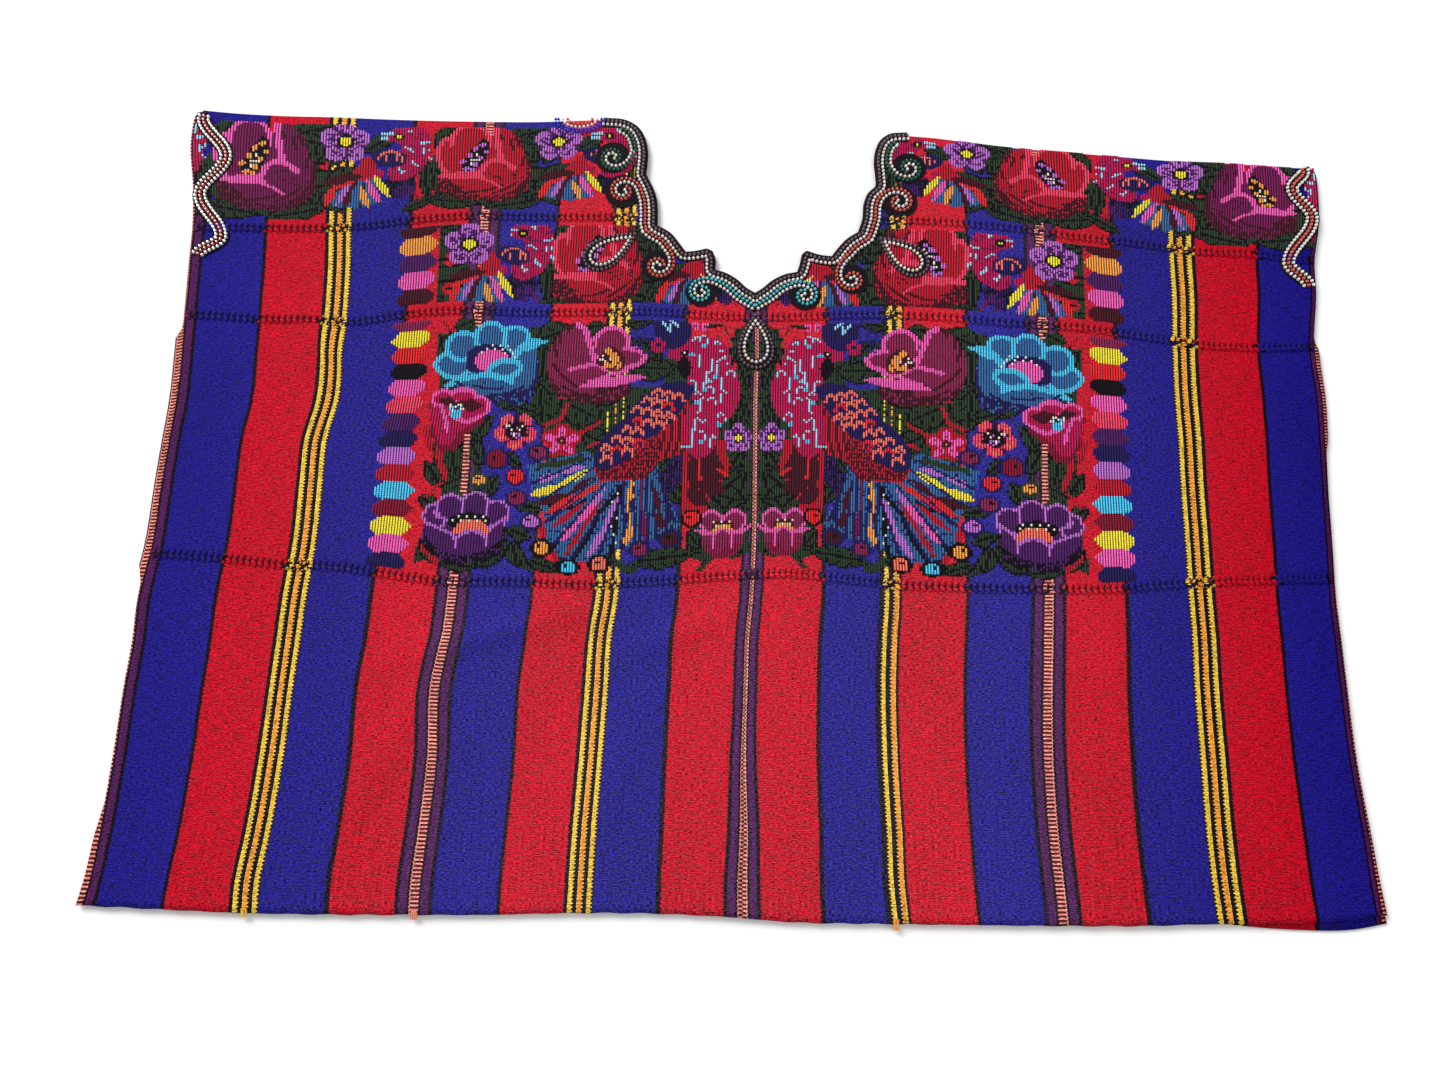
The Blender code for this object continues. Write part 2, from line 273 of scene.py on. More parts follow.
class LaidPlan:
    """Where every point of the woven cloth lies on the table."""

    ROUNDS = 5

    def __init__(self) -> None:
        """Read the tables once."""
        self.levels = column(WARPS, "y")
        self.uprights = column(WEFTS, "x")
        self.rows = [column(WEFTS, name) for name in ("hem", "low_row", "middle_row", "high_row", "shoulder")]

    def warp_lines(self, side: Side, y: np.ndarray) -> list[np.ndarray]:
        """x of the seam, three stripes and the edge of one side at some levels."""
        names = ["seam"] + [f"{side.word}_{part}" for part in ("inner", "ladder", "outer", "edge")]
        return [smooth(self.levels, column(WARPS, name), y) for name in names]

    def edge_u(self, side: Side, y: np.ndarray, back: bool) -> np.ndarray:
        """u of the edge that shows on the front or back leaf."""
        name = "right" if side is Side.RIGHT else ("left_back" if back else "left_front")
        return np.interp(y, column(SELVEDGES, "y"), column(SELVEDGES, name))

    def place(self, side: Side, u: np.ndarray, v: np.ndarray) -> tuple[np.ndarray, np.ndarray]:
        """Plan point of a woven point.

        Args:
            side: Which length of cloth.
            u: Millimetres out from the centre seam.
            v: Millimetres up from the front hem.

        Returns:
            x and y in plan millimetres.
        """
        u, v = np.broadcast_arrays(np.asarray(u, float), np.asarray(v, float))
        x, y = side.value * u, v.copy()
        for _ in range(self.ROUNDS):
            x = self.across(side, u, y)
            y = self.along(x, v)
        return x, y

    def across(self, side: Side, u: np.ndarray, y: np.ndarray) -> np.ndarray:
        """x of a woven u at a level.

        Args:
            side: The side of the blouse.
            u: Woven millimetres from the centre seam.
            y: Plan millimetres up.

        Returns:
            Plan millimetres across.
        """
        lines = self.warp_lines(side, y)
        marks = LINE_U + [OUTER_U[side]]
        x = np.where(u < 0, lines[0] + side.value * u, 0.0)
        for k in range(4):
            last = k == 3
            inside = (u >= marks[k]) & ((u < marks[k + 1]) | last)
            share = (u - marks[k]) / (marks[k + 1] - marks[k])
            x = np.where(inside, lines[k] + share * (lines[k + 1] - lines[k]), x)
        return x

    def along(self, x: np.ndarray, v: np.ndarray) -> np.ndarray:
        """y of a woven v at an upright.

        Args:
            x: Plan millimetres across.
            v: Woven millimetres from the hem.

        Returns:
            Plan millimetres up.
        """
        rows = [smooth(self.uprights, row, x) for row in self.rows]
        y = rows[0] + v
        for k in range(4):
            inside = (v >= ROW_V[k]) & ((v < ROW_V[k + 1]) | (k == 3))
            share = (v - ROW_V[k]) / (ROW_V[k + 1] - ROW_V[k])
            y = np.where(inside, rows[k] + share * (rows[k + 1] - rows[k]), y)
        return y

    def shoulder_y(self, x: np.ndarray) -> np.ndarray:
        """y of the shoulder fold."""
        return smooth(self.uprights, self.rows[4], x)

    def top(self, side: Side, x: np.ndarray, y: np.ndarray) -> np.ndarray:
        """Height of the front's upper face, with its soft folds, in millimetres.

        Args:
            side: The side of the blouse.
            x: Plan millimetres across.
            y: Plan millimetres up.

        Returns:
            Millimetres above the floor.
        """
        lift = np.zeros_like(x)
        for fold in SOFT_FOLDS:
            turn = math.radians(fold.turn)
            along = (x - fold.x) * math.cos(turn) + (y - fold.y) * math.sin(turn)
            aside = (y - fold.y) * math.cos(turn) - (x - fold.x) * math.sin(turn)
            lift += fold.height * np.exp(-(along / fold.length) ** 2 - (aside / fold.width) ** 2)
        lift += 0.10 * np.sin(x / 31 + y / 47) * np.sin(y / 23 - x / 59)
        inward = np.abs(x - self.warp_lines(side, y)[4])
        armhole = 500 if side is Side.LEFT else 470
        closed = np.clip(1 - inward / SEAM_BLEND, 0, 1) * np.clip((armhole - y) / SEAM_BLEND, 0, 1)
        return TOP + lift * np.clip(inward / SEAM_BLEND, 0, 1) - SEAM_DROP * closed


PLAN = LaidPlan()


def to_part(x: np.ndarray, y: np.ndarray, z: np.ndarray) -> np.ndarray:
    """Plan millimetres to the part's metres, as rows of points."""
    x, y, z = np.broadcast_arrays(x, y, z)
    return np.stack([(x - MIDDLE_X) * MM, (y - MIDDLE_Y) * MM, z * MM], axis=-1)


def resample(points: np.ndarray, step: float) -> np.ndarray:
    """Points at an even step along a polyline.

    Args:
        points: The points, one row each.
        step: Millimetres between points.

    Returns:
        The new points, one row each.
    """
    run = np.concatenate([[0], np.cumsum(np.linalg.norm(np.diff(points, axis=0), axis=1))])
    count = max(2, round(run[-1] / step) + 1)
    at = np.linspace(0, run[-1], count)
    return np.stack([np.interp(at, run, points[:, k]) for k in range(2)], axis=1)


def rounded(points: np.ndarray, step: float = 1.0) -> np.ndarray:
    """A smooth curve through points, at an even step.

    Args:
        points: The points, one row each.
        step: Millimetres between points.

    Returns:
        The curve's points, one row each.
    """
    run = np.concatenate([[0], np.cumsum(np.linalg.norm(np.diff(points, axis=0), axis=1))])
    at = np.linspace(0, run[-1], max(3, int(run[-1] * 2)))
    if len(points) == 2:
        return resample(points, step)
    curve = np.stack([smooth(run, points[:, k], at) for k in range(2)], axis=1)
    return resample(curve, step)


def normals(points: np.ndarray) -> np.ndarray:
    """Left-hand unit normals of a polyline.

    Args:
        points: The points, one row each.

    Returns:
        One normal for each point.
    """
    run = np.gradient(points, axis=0)
    run /= np.maximum(np.linalg.norm(run, axis=1, keepdims=True), 1e-9)
    return np.stack([-run[:, 1], run[:, 0]], axis=1)


def inside(points: np.ndarray, polygon: np.ndarray) -> np.ndarray:
    """Whether each point lies in a polygon.

    Args:
        points: The points, one row each.
        polygon: The polygon's corners.

    Returns:
        True for each point inside.
    """
    found = np.zeros(len(points), bool)
    x, y = points[:, 0], points[:, 1]
    for (x1, y1), (x2, y2) in zip(polygon, np.roll(polygon, -1, axis=0)):
        if y1 != y2:
            found ^= ((y1 > y) != (y2 > y)) & (x < (x2 - x1) * (y - y1) / (y2 - y1) + x1)
    return found


def distance_to(points: np.ndarray, line: np.ndarray) -> np.ndarray:
    """How far each point lies from the nearest point of a line.

    Args:
        points: The points, one row each.
        line: The line's points.

    Returns:
        Millimetres for each point.
    """
    nearest = np.full(len(points), 1e9)
    for x, y in line:
        np.minimum(nearest, (points[:, 0] - x) ** 2 + (points[:, 1] - y) ** 2, out=nearest)
    return np.sqrt(nearest)


class NeckEdge:
    """The scalloped neck edge of one side, from the V up to the shoulder."""

    STEP = 0.8

    def __init__(self, side: Side) -> None:
        """Round the scallops between their corners.

        Args:
            side: The side of the blouse.
        """
        self.side = side
        x = column(NECK, f"{side.word}_x")
        y = column(NECK, f"{side.word}_y")
        knots = np.stack([x, y], axis=1)
        corners = [i for i, point in enumerate(NECK) if point.corner]
        runs = [rounded(knots[a:b + 1], self.STEP) for a, b in zip(corners, corners[1:])]
        self.line = np.concatenate([run if k == 0 else run[1:] for k, run in enumerate(runs)])
        self.marks = [int(np.argmin(np.linalg.norm(self.line - knot, axis=1))) for knot in knots]
        inward = 1.0 if side is Side.LEFT else -1.0
        self.inward = normals(self.line) * inward
        self.kept: dict[tuple, np.ndarray] = {}

    def inset(self, depth: float, tidy: float = 0.97) -> np.ndarray:
        """The edge moved into the cloth, shortened where it would cross itself.

        Args:
            depth: Millimetres in from the edge.
            tidy: Share of the depth that every point keeps from the edge.

        Returns:
            One point for each point of the edge.
        """
        if (depth, tidy) not in self.kept:
            reach = np.full(len(self.line), depth)
            for _ in range(24):
                tight = distance_to(self.line + self.inward * reach[:, None], self.line) < tidy * reach
                if not tight.any():
                    break
                reach[tight] *= 0.92
            blend = np.hanning(9) / np.hanning(9).sum()
            soft = np.convolve(np.pad(reach, 4, mode="edge"), blend, mode="valid")
            self.kept[depth, tidy] = self.line + self.inward * np.minimum(reach, soft)[:, None]
        return self.kept[depth, tidy]

    def parallel(self, depth: float) -> np.ndarray:
        """The clean parallel of the edge: its points that lie at the full depth.

        Args:
            depth: Millimetres in from the edge.

        Returns:
            The parallel's points.
        """
        moved = self.line + self.inward * depth
        clean = moved[distance_to(moved, self.line) > 0.96 * depth]
        return np.concatenate([self.below_point(depth), clean])

    def below_point(self, depth: float) -> np.ndarray:
        """Where a row at a depth meets its twin under the point of the V."""
        x, y = self.line[0]
        return np.array([[x + self.side.value * 1.5, y - 1.1 * depth]])


EDGES = {side: NeckEdge(side) for side in Side}


def opening_polygon() -> np.ndarray:
    """The neck opening in plan, closed well above the shoulders.

    Returns:
        The polygon's corners.
    """
    left, right = EDGES[Side.LEFT].line, EDGES[Side.RIGHT].line
    lid = np.array([[right[-1][0], 700.0], [left[-1][0], 700.0]])
    return np.concatenate([left[::-1], right[1:], lid])


def srgb(red: int, green: int, blue: int) -> tuple[float, float, float, float]:
    """A colour from 0 to 255 a channel, as the shader's linear values.

    Args:
        red: Red, 0 to 255.
        green: Green, 0 to 255.
        blue: Blue, 0 to 255.

    Returns:
        The linear values.
    """
    def linear(c: int) -> float:
        c = c / 255
        return c / 12.92 if c <= 0.04045 else ((c + 0.055) / 1.055) ** 2.4
    return linear(red), linear(green), linear(blue), 1.0


class Tree:
    """Short forms for wiring one node tree."""

    def __init__(self, tree: bpy.types.NodeTree) -> None:
        """Wrap a tree."""
        self.tree = tree

    def add(self, kind: str, **settings: object) -> bpy.types.Node:
        """Add a node with some of its settings.

        Args:
            kind: The node's type.
            settings: Its settings by name.

        Returns:
            The node.
        """
        node = self.tree.nodes.new(kind)
        for name, value in settings.items():
            setattr(node, name, value)
        return node

    def wire(self, value: object, socket: bpy.types.NodeSocket) -> None:
        """Link a socket, or set a plain value.

        Args:
            value: A socket or a plain value.
            socket: The input that takes it.
        """
        if isinstance(value, bpy.types.NodeSocket):
            self.tree.links.new(value, socket)
        elif value is not None:
            socket.default_value = value

    def math(self, operation: str, *values: object, clamp: bool = False) -> bpy.types.NodeSocket:
        """One math node.

        Args:
            operation: The node's operation.
            values: What feeds its inputs.
            clamp: Whether the result stays from 0 to 1.

        Returns:
            Its output socket.
        """
        node = self.add("ShaderNodeMath", operation=operation, use_clamp=clamp)
        for value, socket in zip(values, node.inputs):
            self.wire(value, socket)
        return node.outputs[0]

    def mix(self, share: object, a: object, b: object, blend: str = "MIX") -> bpy.types.NodeSocket:
        """One colour mix.

        Args:
            share: How much of the second colour shows.
            a: The first colour.
            b: The second colour.
            blend: How they mix.

        Returns:
            Its output socket.
        """
        node = self.add("ShaderNodeMix", data_type="RGBA", blend_type=blend)
        self.wire(share, node.inputs[0])
        self.wire(a, node.inputs[6])
        self.wire(b, node.inputs[7])
        return node.outputs[2]

    def noise(self, vector: object, scale: float, detail: float = 2.0) -> bpy.types.NodeSocket:
        """Noise from 0 to 1 on a vector.

        Args:
            vector: A vector.
            scale: The noise's scale.
            detail: The noise's detail.

        Returns:
            Its output socket.
        """
        node = self.add("ShaderNodeTexNoise")
        self.wire(vector, node.inputs["Vector"])
        node.inputs["Scale"].default_value = scale
        node.inputs["Detail"].default_value = detail
        return node.outputs["Fac"]

    def stretch(self, vector: object, x: float, y: float) -> bpy.types.NodeSocket:
        """A vector with its first two parts multiplied.

        Args:
            vector: A vector.
            x: What multiplies the first part.
            y: What multiplies the second part.

        Returns:
            Its output socket.
        """
        node = self.add("ShaderNodeVectorMath", operation="MULTIPLY")
        self.wire(vector, node.inputs[0])
        node.inputs[1].default_value = (x, y, 1.0)
        return node.outputs[0]

    def parts(self, vector: object) -> list[bpy.types.NodeSocket]:
        """The parts of a vector.

        Args:
            vector: A vector.

        Returns:
            Its three sockets.
        """
        node = self.add("ShaderNodeSeparateXYZ")
        self.wire(vector, node.inputs[0])
        return list(node.outputs)

    def group(self, group: bpy.types.NodeTree, **values: object) -> bpy.types.Node:
        """Place a node group and feed its inputs, with spaces for underscores.

        Args:
            group: The node group.
            values: What feeds its inputs.

        Returns:
            The node.
        """
        node = self.add("ShaderNodeGroup", node_tree=group)
        for name, value in values.items():
            self.wire(value, node.inputs[name.replace("_", " ")])
        return node


def new_group(name: str, inputs: Sequence[tuple], outputs: Sequence[tuple]) -> tuple[Tree, dict, dict]:
    """An empty node group with named sockets.

    Args:
        name: The group's name.
        inputs: Socket names, kinds and defaults.
        outputs: Socket names and kinds.

    Returns:
        The group's tree, its inputs by name and its output sockets by name.
    """
    group = bpy.data.node_groups.new(name, "ShaderNodeTree")
    for label, kind, default in inputs:
        socket = group.interface.new_socket(name=label, in_out="INPUT", socket_type=kind)
        if default is not None:
            socket.default_value = default
    for label, kind in outputs:
        group.interface.new_socket(name=label, in_out="OUTPUT", socket_type=kind)
    tree = Tree(group)
    start, end = tree.add("NodeGroupInput"), tree.add("NodeGroupOutput")
    return tree, {s.name: s for s in start.outputs}, {s.name: s for s in end.inputs}


def make_cotton_group() -> bpy.types.NodeTree:
    """Spun cotton: colour that varies from pick to pick, and a fine ribbed height.

    Returns:
        The node group.
    """
    tree, given, out = new_group(
        "Spun cotton",
        [("Color", "NodeSocketColor", (0.5, 0.5, 0.5, 1)), ("Woven", "NodeSocketVector", None),
         ("Pitch", "NodeSocketFloat", 0.0011), ("Fleck", "NodeSocketFloat", 0.3),
         ("Fade", "NodeSocketFloat", 0.1), ("Lint", "NodeSocketFloat", 0.02)],
        [("Color", "NodeSocketColor"), ("Height", "NodeSocketFloat")],
    )
    u, v, _ = tree.parts(given["Woven"])
    picks = tree.math("DIVIDE", v, given["Pitch"])
    rib = tree.math("ABSOLUTE", tree.math("SINE", tree.math("MULTIPLY", picks, math.pi)))
    ends = tree.math("ABSOLUTE", tree.math("SINE", tree.math("MULTIPLY", u, math.pi / 0.0007)))
    weave = tree.math("MULTIPLY_ADD", ends, 0.35, tree.math("MULTIPLY", rib, 0.65))
    pick = tree.noise(tree.stretch(given["Woven"], 120, 1600), 1.0)
    fleck = tree.noise(tree.stretch(given["Woven"], 480, 1150), 1.0, 1.0)
    cloud = tree.noise(tree.stretch(given["Woven"], 9, 7), 1.0, 3.0)
    tone = tree.math("MULTIPLY", tree.math("SUBTRACT", pick, 0.5), given["Fleck"])
    grain = tree.math("MULTIPLY", tree.math("SUBTRACT", fleck, 0.5),
                      tree.math("MULTIPLY", given["Fleck"], 1.3))
    wash = tree.math("MULTIPLY", tree.math("SUBTRACT", cloud, 0.5), given["Fade"])
    # Painted shade: each pick is lighter on its crown and darker in the groove between picks.
    shade = tree.math("MULTIPLY_ADD", rib, 0.42, 0.73)
    value = tree.math("ADD", tree.math("ADD", tone, grain), tree.math("ADD", wash, shade))
    hue = tree.add("ShaderNodeHueSaturation")
    tree.wire(given["Color"], hue.inputs["Color"])
    tree.wire(value, hue.inputs["Value"])
    fibre = tree.noise(tree.stretch(given["Woven"], 480, 1300), 1.0, 1.0)
    lint = tree.math("MULTIPLY", tree.math("SUBTRACT", fibre, 0.38),
                     tree.math("MULTIPLY", given["Lint"], 7.0), clamp=True)
    tree.wire(tree.mix(lint, hue.outputs[0], srgb(214, 206, 218)), out["Color"])
    tree.wire(weave, out["Height"])
    return tree.tree


def new_material(name: str) -> tuple[bpy.types.Material, Tree, bpy.types.Node]:
    """A material with its tree and its Principled shader.

    Args:
        name: The material's name.

    Returns:
        The material, its tree and its shader.
    """
    material = bpy.data.materials.new(name)
    material.use_nodes = True
    return material, Tree(material.node_tree), material.node_tree.nodes["Principled BSDF"]


def bump(tree: Tree, shader: bpy.types.Node, height: object, depth: float) -> None:
    """Feed a height to the shader's normal, with its depth in metres.

    Args:
        tree: The material's tree.
        shader: The Principled shader.
        height: A height from 0 to 1.
        depth: Metres that a height of 1 gives.
    """
    node = tree.add("ShaderNodeBump")
    node.inputs["Strength"].default_value = 1.0
    node.inputs["Distance"].default_value = depth
    tree.wire(height, node.inputs["Height"])
    tree.wire(node.outputs[0], shader.inputs["Normal"])


class Stripe(NamedTuple):
    """One stripe of the warp: where it starts in the repeat, and its dye."""

    start: float
    dye: tuple


@dataclass(frozen=True)
class StripedCotton:
    """The striped ground cloth of one length, on a repeat across the warp."""

    WORN_LINT: ClassVar[float] = 0.033
    name: str
    cotton: bpy.types.NodeTree
    side: Side
    repeat: float = 220.0
    squeeze: float = 2.5
    red_reach: float = 387.5
    band_start: float = 427.6
    edge_lint: float = 0.01
    # How much painted shade darkens the cloth at its outer edge.
    edge_depth: float = 0.1
    blue: tuple = srgb(27, 20, 129)
    red: tuple = srgb(191, 2, 31)
    black: tuple = srgb(12, 4, 14)
    purple: tuple = srgb(78, 24, 84)
    # The pale painted highlight along the rims of the yellow and orange lines.
    cream: tuple = srgb(236, 204, 112)
    yellow: tuple = srgb(236, 192, 52)
    orange: tuple = srgb(242, 152, 42)
    rung: tuple = srgb(248, 154, 138)
    wine: tuple = srgb(78, 6, 22)

    def stripes(self) -> list[Stripe]:
        """The warp's repeat, from the middle of one ladder to the middle of the next.

        Returns:
            The stripes in order.
        """
        return [
            Stripe(0, self.rung), Stripe(2.9, self.black), Stripe(4.7, self.purple),
            Stripe(10.0, self.black), Stripe(12.4, self.red), Stripe(54.8, self.black),
            Stripe(58, self.blue), Stripe(99.8, self.black), Stripe(119.6, self.red),
            Stripe(161.8, self.black), Stripe(165, self.blue), Stripe(207.6, self.black),
            Stripe(210.0, self.purple), Stripe(215.3, self.black), Stripe(217.1, self.rung),
        ]

    def line(self, tree: Tree, across: object, saw: object, middle: object, half: float) -> tuple:
        """Masks of one yellow or orange line: its saw-toothed whole, and its middle.

        Args:
            tree: The material's tree.
            across: Millimetres across the repeat.
            saw: The saw teeth, in millimetres.
            middle: The line's middle.
            half: Half its width, in millimetres.

        Returns:
            The two masks.
        """
        away = tree.math("ABSOLUTE", tree.math("SUBTRACT", across, middle))
        return (tree.math("GREATER_THAN", tree.math("ADD", saw, half), away),
                tree.math("GREATER_THAN", tree.math("MULTIPLY", half, 0.86), away))

    def narrow_seam(self, tree: Tree, u_mm: object, v: object) -> object:
        """Squeeze the stripes beside the seam, and let them widen down to the hem.

        Args:
            tree: The material's tree.
            u_mm: Woven millimetres from the centre seam.
            v: Woven metres from the hem.

        Returns:
            The moved millimetres.
        """
        near = tree.math("MULTIPLY", u_mm, self.squeeze)
        for slope, start in ((1.216, 1.669), (0.922, 4.38)):
            near = tree.math("MINIMUM", near, tree.math("MULTIPLY_ADD", u_mm, slope, start))
        squeezed = tree.math("MAXIMUM", u_mm, near)
        share = tree.math("MULTIPLY", tree.math("SUBTRACT", v, 0.02), 9.0, clamp=True)
        return tree.math("MULTIPLY_ADD", tree.math("SUBTRACT", squeezed, u_mm), share, u_mm)

    def wide_edge(self, tree: Tree, u_mm: object) -> object:
        """Widen the outermost red stripe, and squeeze the band at the edge to match.

        Args:
            tree: The material's tree.
            u_mm: Woven millimetres from the centre seam.

        Returns:
            The moved millimetres.
        """
        knots = ((330.0, 330.0), (self.red_reach, 384.0), (self.band_start, 427.6), (438.0, 438.0))
        eased = u_mm
        for k, ((u1, to1), (u2, to2)) in enumerate(zip(knots, knots[1:])):
            slope = (to2 - to1) / (u2 - u1)
            line = tree.math("MULTIPLY_ADD", u_mm, slope, to1 - slope * u1)
            eased = tree.math("MAXIMUM" if k else "MINIMUM", eased, line)
        return eased

    def build(self) -> bpy.types.Material:
        """Wire the material.

        Returns:
            The material.
        """
        material, tree, shader = new_material(self.name)
        woven = tree.add("ShaderNodeUVMap", uv_map="woven").outputs[0]
        u, v, _ = tree.parts(woven)
        sway = tree.noise(tree.stretch(woven, 30, 240), 1.0)
        tooth = tree.math("PINGPONG", tree.math("MULTIPLY", v, 1000.0), 1.35)
        u_mm = tree.math("MULTIPLY_ADD", sway, 0.7, tree.math("MULTIPLY", u, 1000.0))
        u_mm = self.wide_edge(tree, self.narrow_seam(tree, u_mm, v))
        u_mm = tree.math("MULTIPLY_ADD", tooth, 0.55, tree.math("SUBTRACT", u_mm, 0.37))
        across = tree.math("FLOORED_MODULO", tree.math("SUBTRACT", u_mm, 0.35), self.repeat)
        ramp = tree.add("ShaderNodeValToRGB")
        ramp.color_ramp.interpolation = "CONSTANT"
        elements = ramp.color_ramp.elements
        while len(elements) > 1:
            elements.remove(elements[-1])
        for k, stripe in enumerate(self.stripes()):
            element = elements[0] if k == 0 else elements.new(stripe.start / self.repeat)
            element.position = stripe.start / self.repeat
            element.color = stripe.dye
        tree.wire(tree.math("DIVIDE", across, self.repeat), ramp.inputs[0])
        saw = tree.math("MULTIPLY_ADD", tooth, 0.9, -0.66)
        colour = ramp.outputs[0]
        inner = tree.math("LESS_THAN", u_mm, 160.0) if self.side is Side.RIGHT else 0.0
        if self.side is Side.RIGHT:
            plain = tree.math("MULTIPLY", inner, tree.math("GREATER_THAN", across, 117.6))
            colour = tree.mix(tree.math("MULTIPLY", plain, tree.math("LESS_THAN", across, 120.4)), colour,
                              self.red)
        for middle, shift, half, dye in ((103.3, 3.4, 1.5, self.yellow), (109.7, 4.2, 1.7, self.orange),
                                         (116.1, -2.2, 1.5, self.yellow)):
            if self.side is Side.RIGHT:
                middle = tree.math("MULTIPLY_ADD", inner, shift, middle)
                half = tree.math("MULTIPLY_ADD", inner, -6.0, half) if shift < 0 else half
            whole, core = self.line(tree, across, saw, middle, half)
            # Painted highlight: each line's saw-toothed rim is pale, and only its middle keeps the line's
            # dye.
            colour = tree.mix(core, tree.mix(whole, colour, self.cream), dye)
        phase = 0.5 if self.side is Side.RIGHT else 0.0
        ladder = tree.math("FRACT", tree.math("MULTIPLY_ADD", v, 1 / 0.0028, phase))
        rung = tree.math("GREATER_THAN", ladder, 0.43)
        near = tree.math("PINGPONG", tree.math("ADD", u_mm, -0.35), self.repeat / 2)
        on_ladder = tree.math("LESS_THAN", near, 2.9)
        colour = tree.mix(tree.math("MULTIPLY", rung, on_ladder), colour, self.wine)
        # Painted shade: black is mixed in more and more towards the cloth's outer edges, and the middle,
        # where the lint is thickest, stays lightest.
        worn_and_lit = tree.math("MULTIPLY", tree.math("SUBTRACT", 0.42, u), 1 / 0.24, clamp=True)
        depth = tree.math("MULTIPLY_ADD", worn_and_lit, -self.edge_depth, self.edge_depth)
        colour = tree.mix(depth, colour, self.black)
        lint = tree.math("MULTIPLY_ADD", worn_and_lit, self.WORN_LINT - self.edge_lint, self.edge_lint)
        cotton = tree.group(self.cotton, Color=colour, Woven=woven, Pitch=0.00115, Fleck=2.4, Fade=0.5,
                            Lint=lint)
        tree.wire(cotton.outputs["Color"], shader.inputs["Base Color"])
        bump(tree, shader, cotton.outputs["Height"], 0.00025)
        shader.inputs["Roughness"].default_value = 0.82
        shader.inputs["Specular IOR Level"].default_value = 0.04
        return material


@dataclass(frozen=True)
class BrocadeYarn:
    """The raised brocade: each cell's own dye, with dark lines between the ribs."""

    name: str
    cotton: bpy.types.NodeTree
    rib: float = 0.002
    pick: float = 0.0015

    def build(self) -> bpy.types.Material:
        """Wire the material.

        Returns:
            The material.
        """
        material, tree, shader = new_material(self.name)
        woven = tree.add("ShaderNodeUVMap", uv_map="woven").outputs[0]
        dye = tree.add("ShaderNodeAttribute", attribute_name="yarn").outputs["Color"]
        u, v, _ = tree.parts(woven)
        ribs = tree.math("PINGPONG", tree.math("DIVIDE", u, self.rib), 0.5)
        picks = tree.math("PINGPONG", tree.math("DIVIDE", v, self.pick), 0.5)
        groove = tree.math("MULTIPLY", tree.math("SUBTRACT", 0.3, ribs), 8.0, clamp=True)
        pick_line = tree.math("MULTIPLY", tree.math("SUBTRACT", 0.12, picks), 2.2, clamp=True)
        dark = tree.math("ADD", tree.math("MULTIPLY", groove, 0.92), pick_line, clamp=True)
        cotton = tree.group(self.cotton, Color=dye, Woven=woven, Pitch=self.pick, Fleck=0.9, Fade=0.2,
                            Lint=0.006)
        colour = tree.mix(tree.math("MULTIPLY", dark, 0.93), cotton.outputs["Color"], srgb(14, 8, 18))
        tree.wire(colour, shader.inputs["Base Color"])
        round_top = tree.math("ADD", tree.math("MULTIPLY", ribs, 1.4), tree.math("MULTIPLY", picks, 0.6))
        bump(tree, shader, round_top, 0.0004)
        shader.inputs["Roughness"].default_value = 0.7
        shader.inputs["Specular IOR Level"].default_value = 0.06
        return material


@dataclass(frozen=True)
class GlassBead:
    """A small faceted bead, glossy, with each bead a little lighter or darker."""

    name: str
    dye: tuple
    metal: float = 0.0
    roughness: float = 0.12
    warmth: float = 0.0
    warm: tuple = srgb(255, 226, 150)

    def build(self) -> bpy.types.Material:
        """Wire the material.

        Returns:
            The material.
        """
        material, tree, shader = new_material(self.name)
        place = tree.add("ShaderNodeTexCoord").outputs["Object"]
        glint = tree.noise(place, 330.0, 1.0)
        value = tree.math("MULTIPLY_ADD", glint, 0.7, 0.62)
        hue = tree.add("ShaderNodeHueSaturation")
        hue.inputs["Color"].default_value = self.dye
        if self.warmth:
            share = tree.math("SUBTRACT", tree.noise(place, 210.0, 0.0), 0.52)
            share = tree.math("MULTIPLY", share, self.warmth, clamp=True)
            tree.wire(tree.mix(share, self.dye, self.warm), hue.inputs["Color"])
        tree.wire(value, hue.inputs["Value"])
        tree.wire(hue.outputs[0], shader.inputs["Base Color"])
        shader.inputs["Roughness"].default_value = self.roughness
        shader.inputs["Metallic"].default_value = self.metal
        shader.inputs["Coat Weight"].default_value = 0.6
        shader.inputs["Coat Roughness"].default_value = 0.08
        return material


@dataclass(frozen=True)
class BorderCloth:
    """The dark stitched ground under the beads."""

    name: str
    dye: tuple = srgb(20, 12, 20)

    def build(self) -> bpy.types.Material:
        """Wire the material.

        Returns:
            The material.
        """
        material, tree, shader = new_material(self.name)
        place = tree.add("ShaderNodeTexCoord").outputs["Object"]
        thread = tree.noise(place, 1500.0, 2.0)
        value = tree.math("MULTIPLY_ADD", thread, 1.4, 0.3)
        hue = tree.add("ShaderNodeHueSaturation")
        hue.inputs["Color"].default_value = self.dye
        tree.wire(value, hue.inputs["Value"])
        tree.wire(hue.outputs[0], shader.inputs["Base Color"])
        bump(tree, shader, thread, 0.0003)
        shader.inputs["Roughness"].default_value = 0.75
        shader.inputs["Specular IOR Level"].default_value = 0.1
        return material


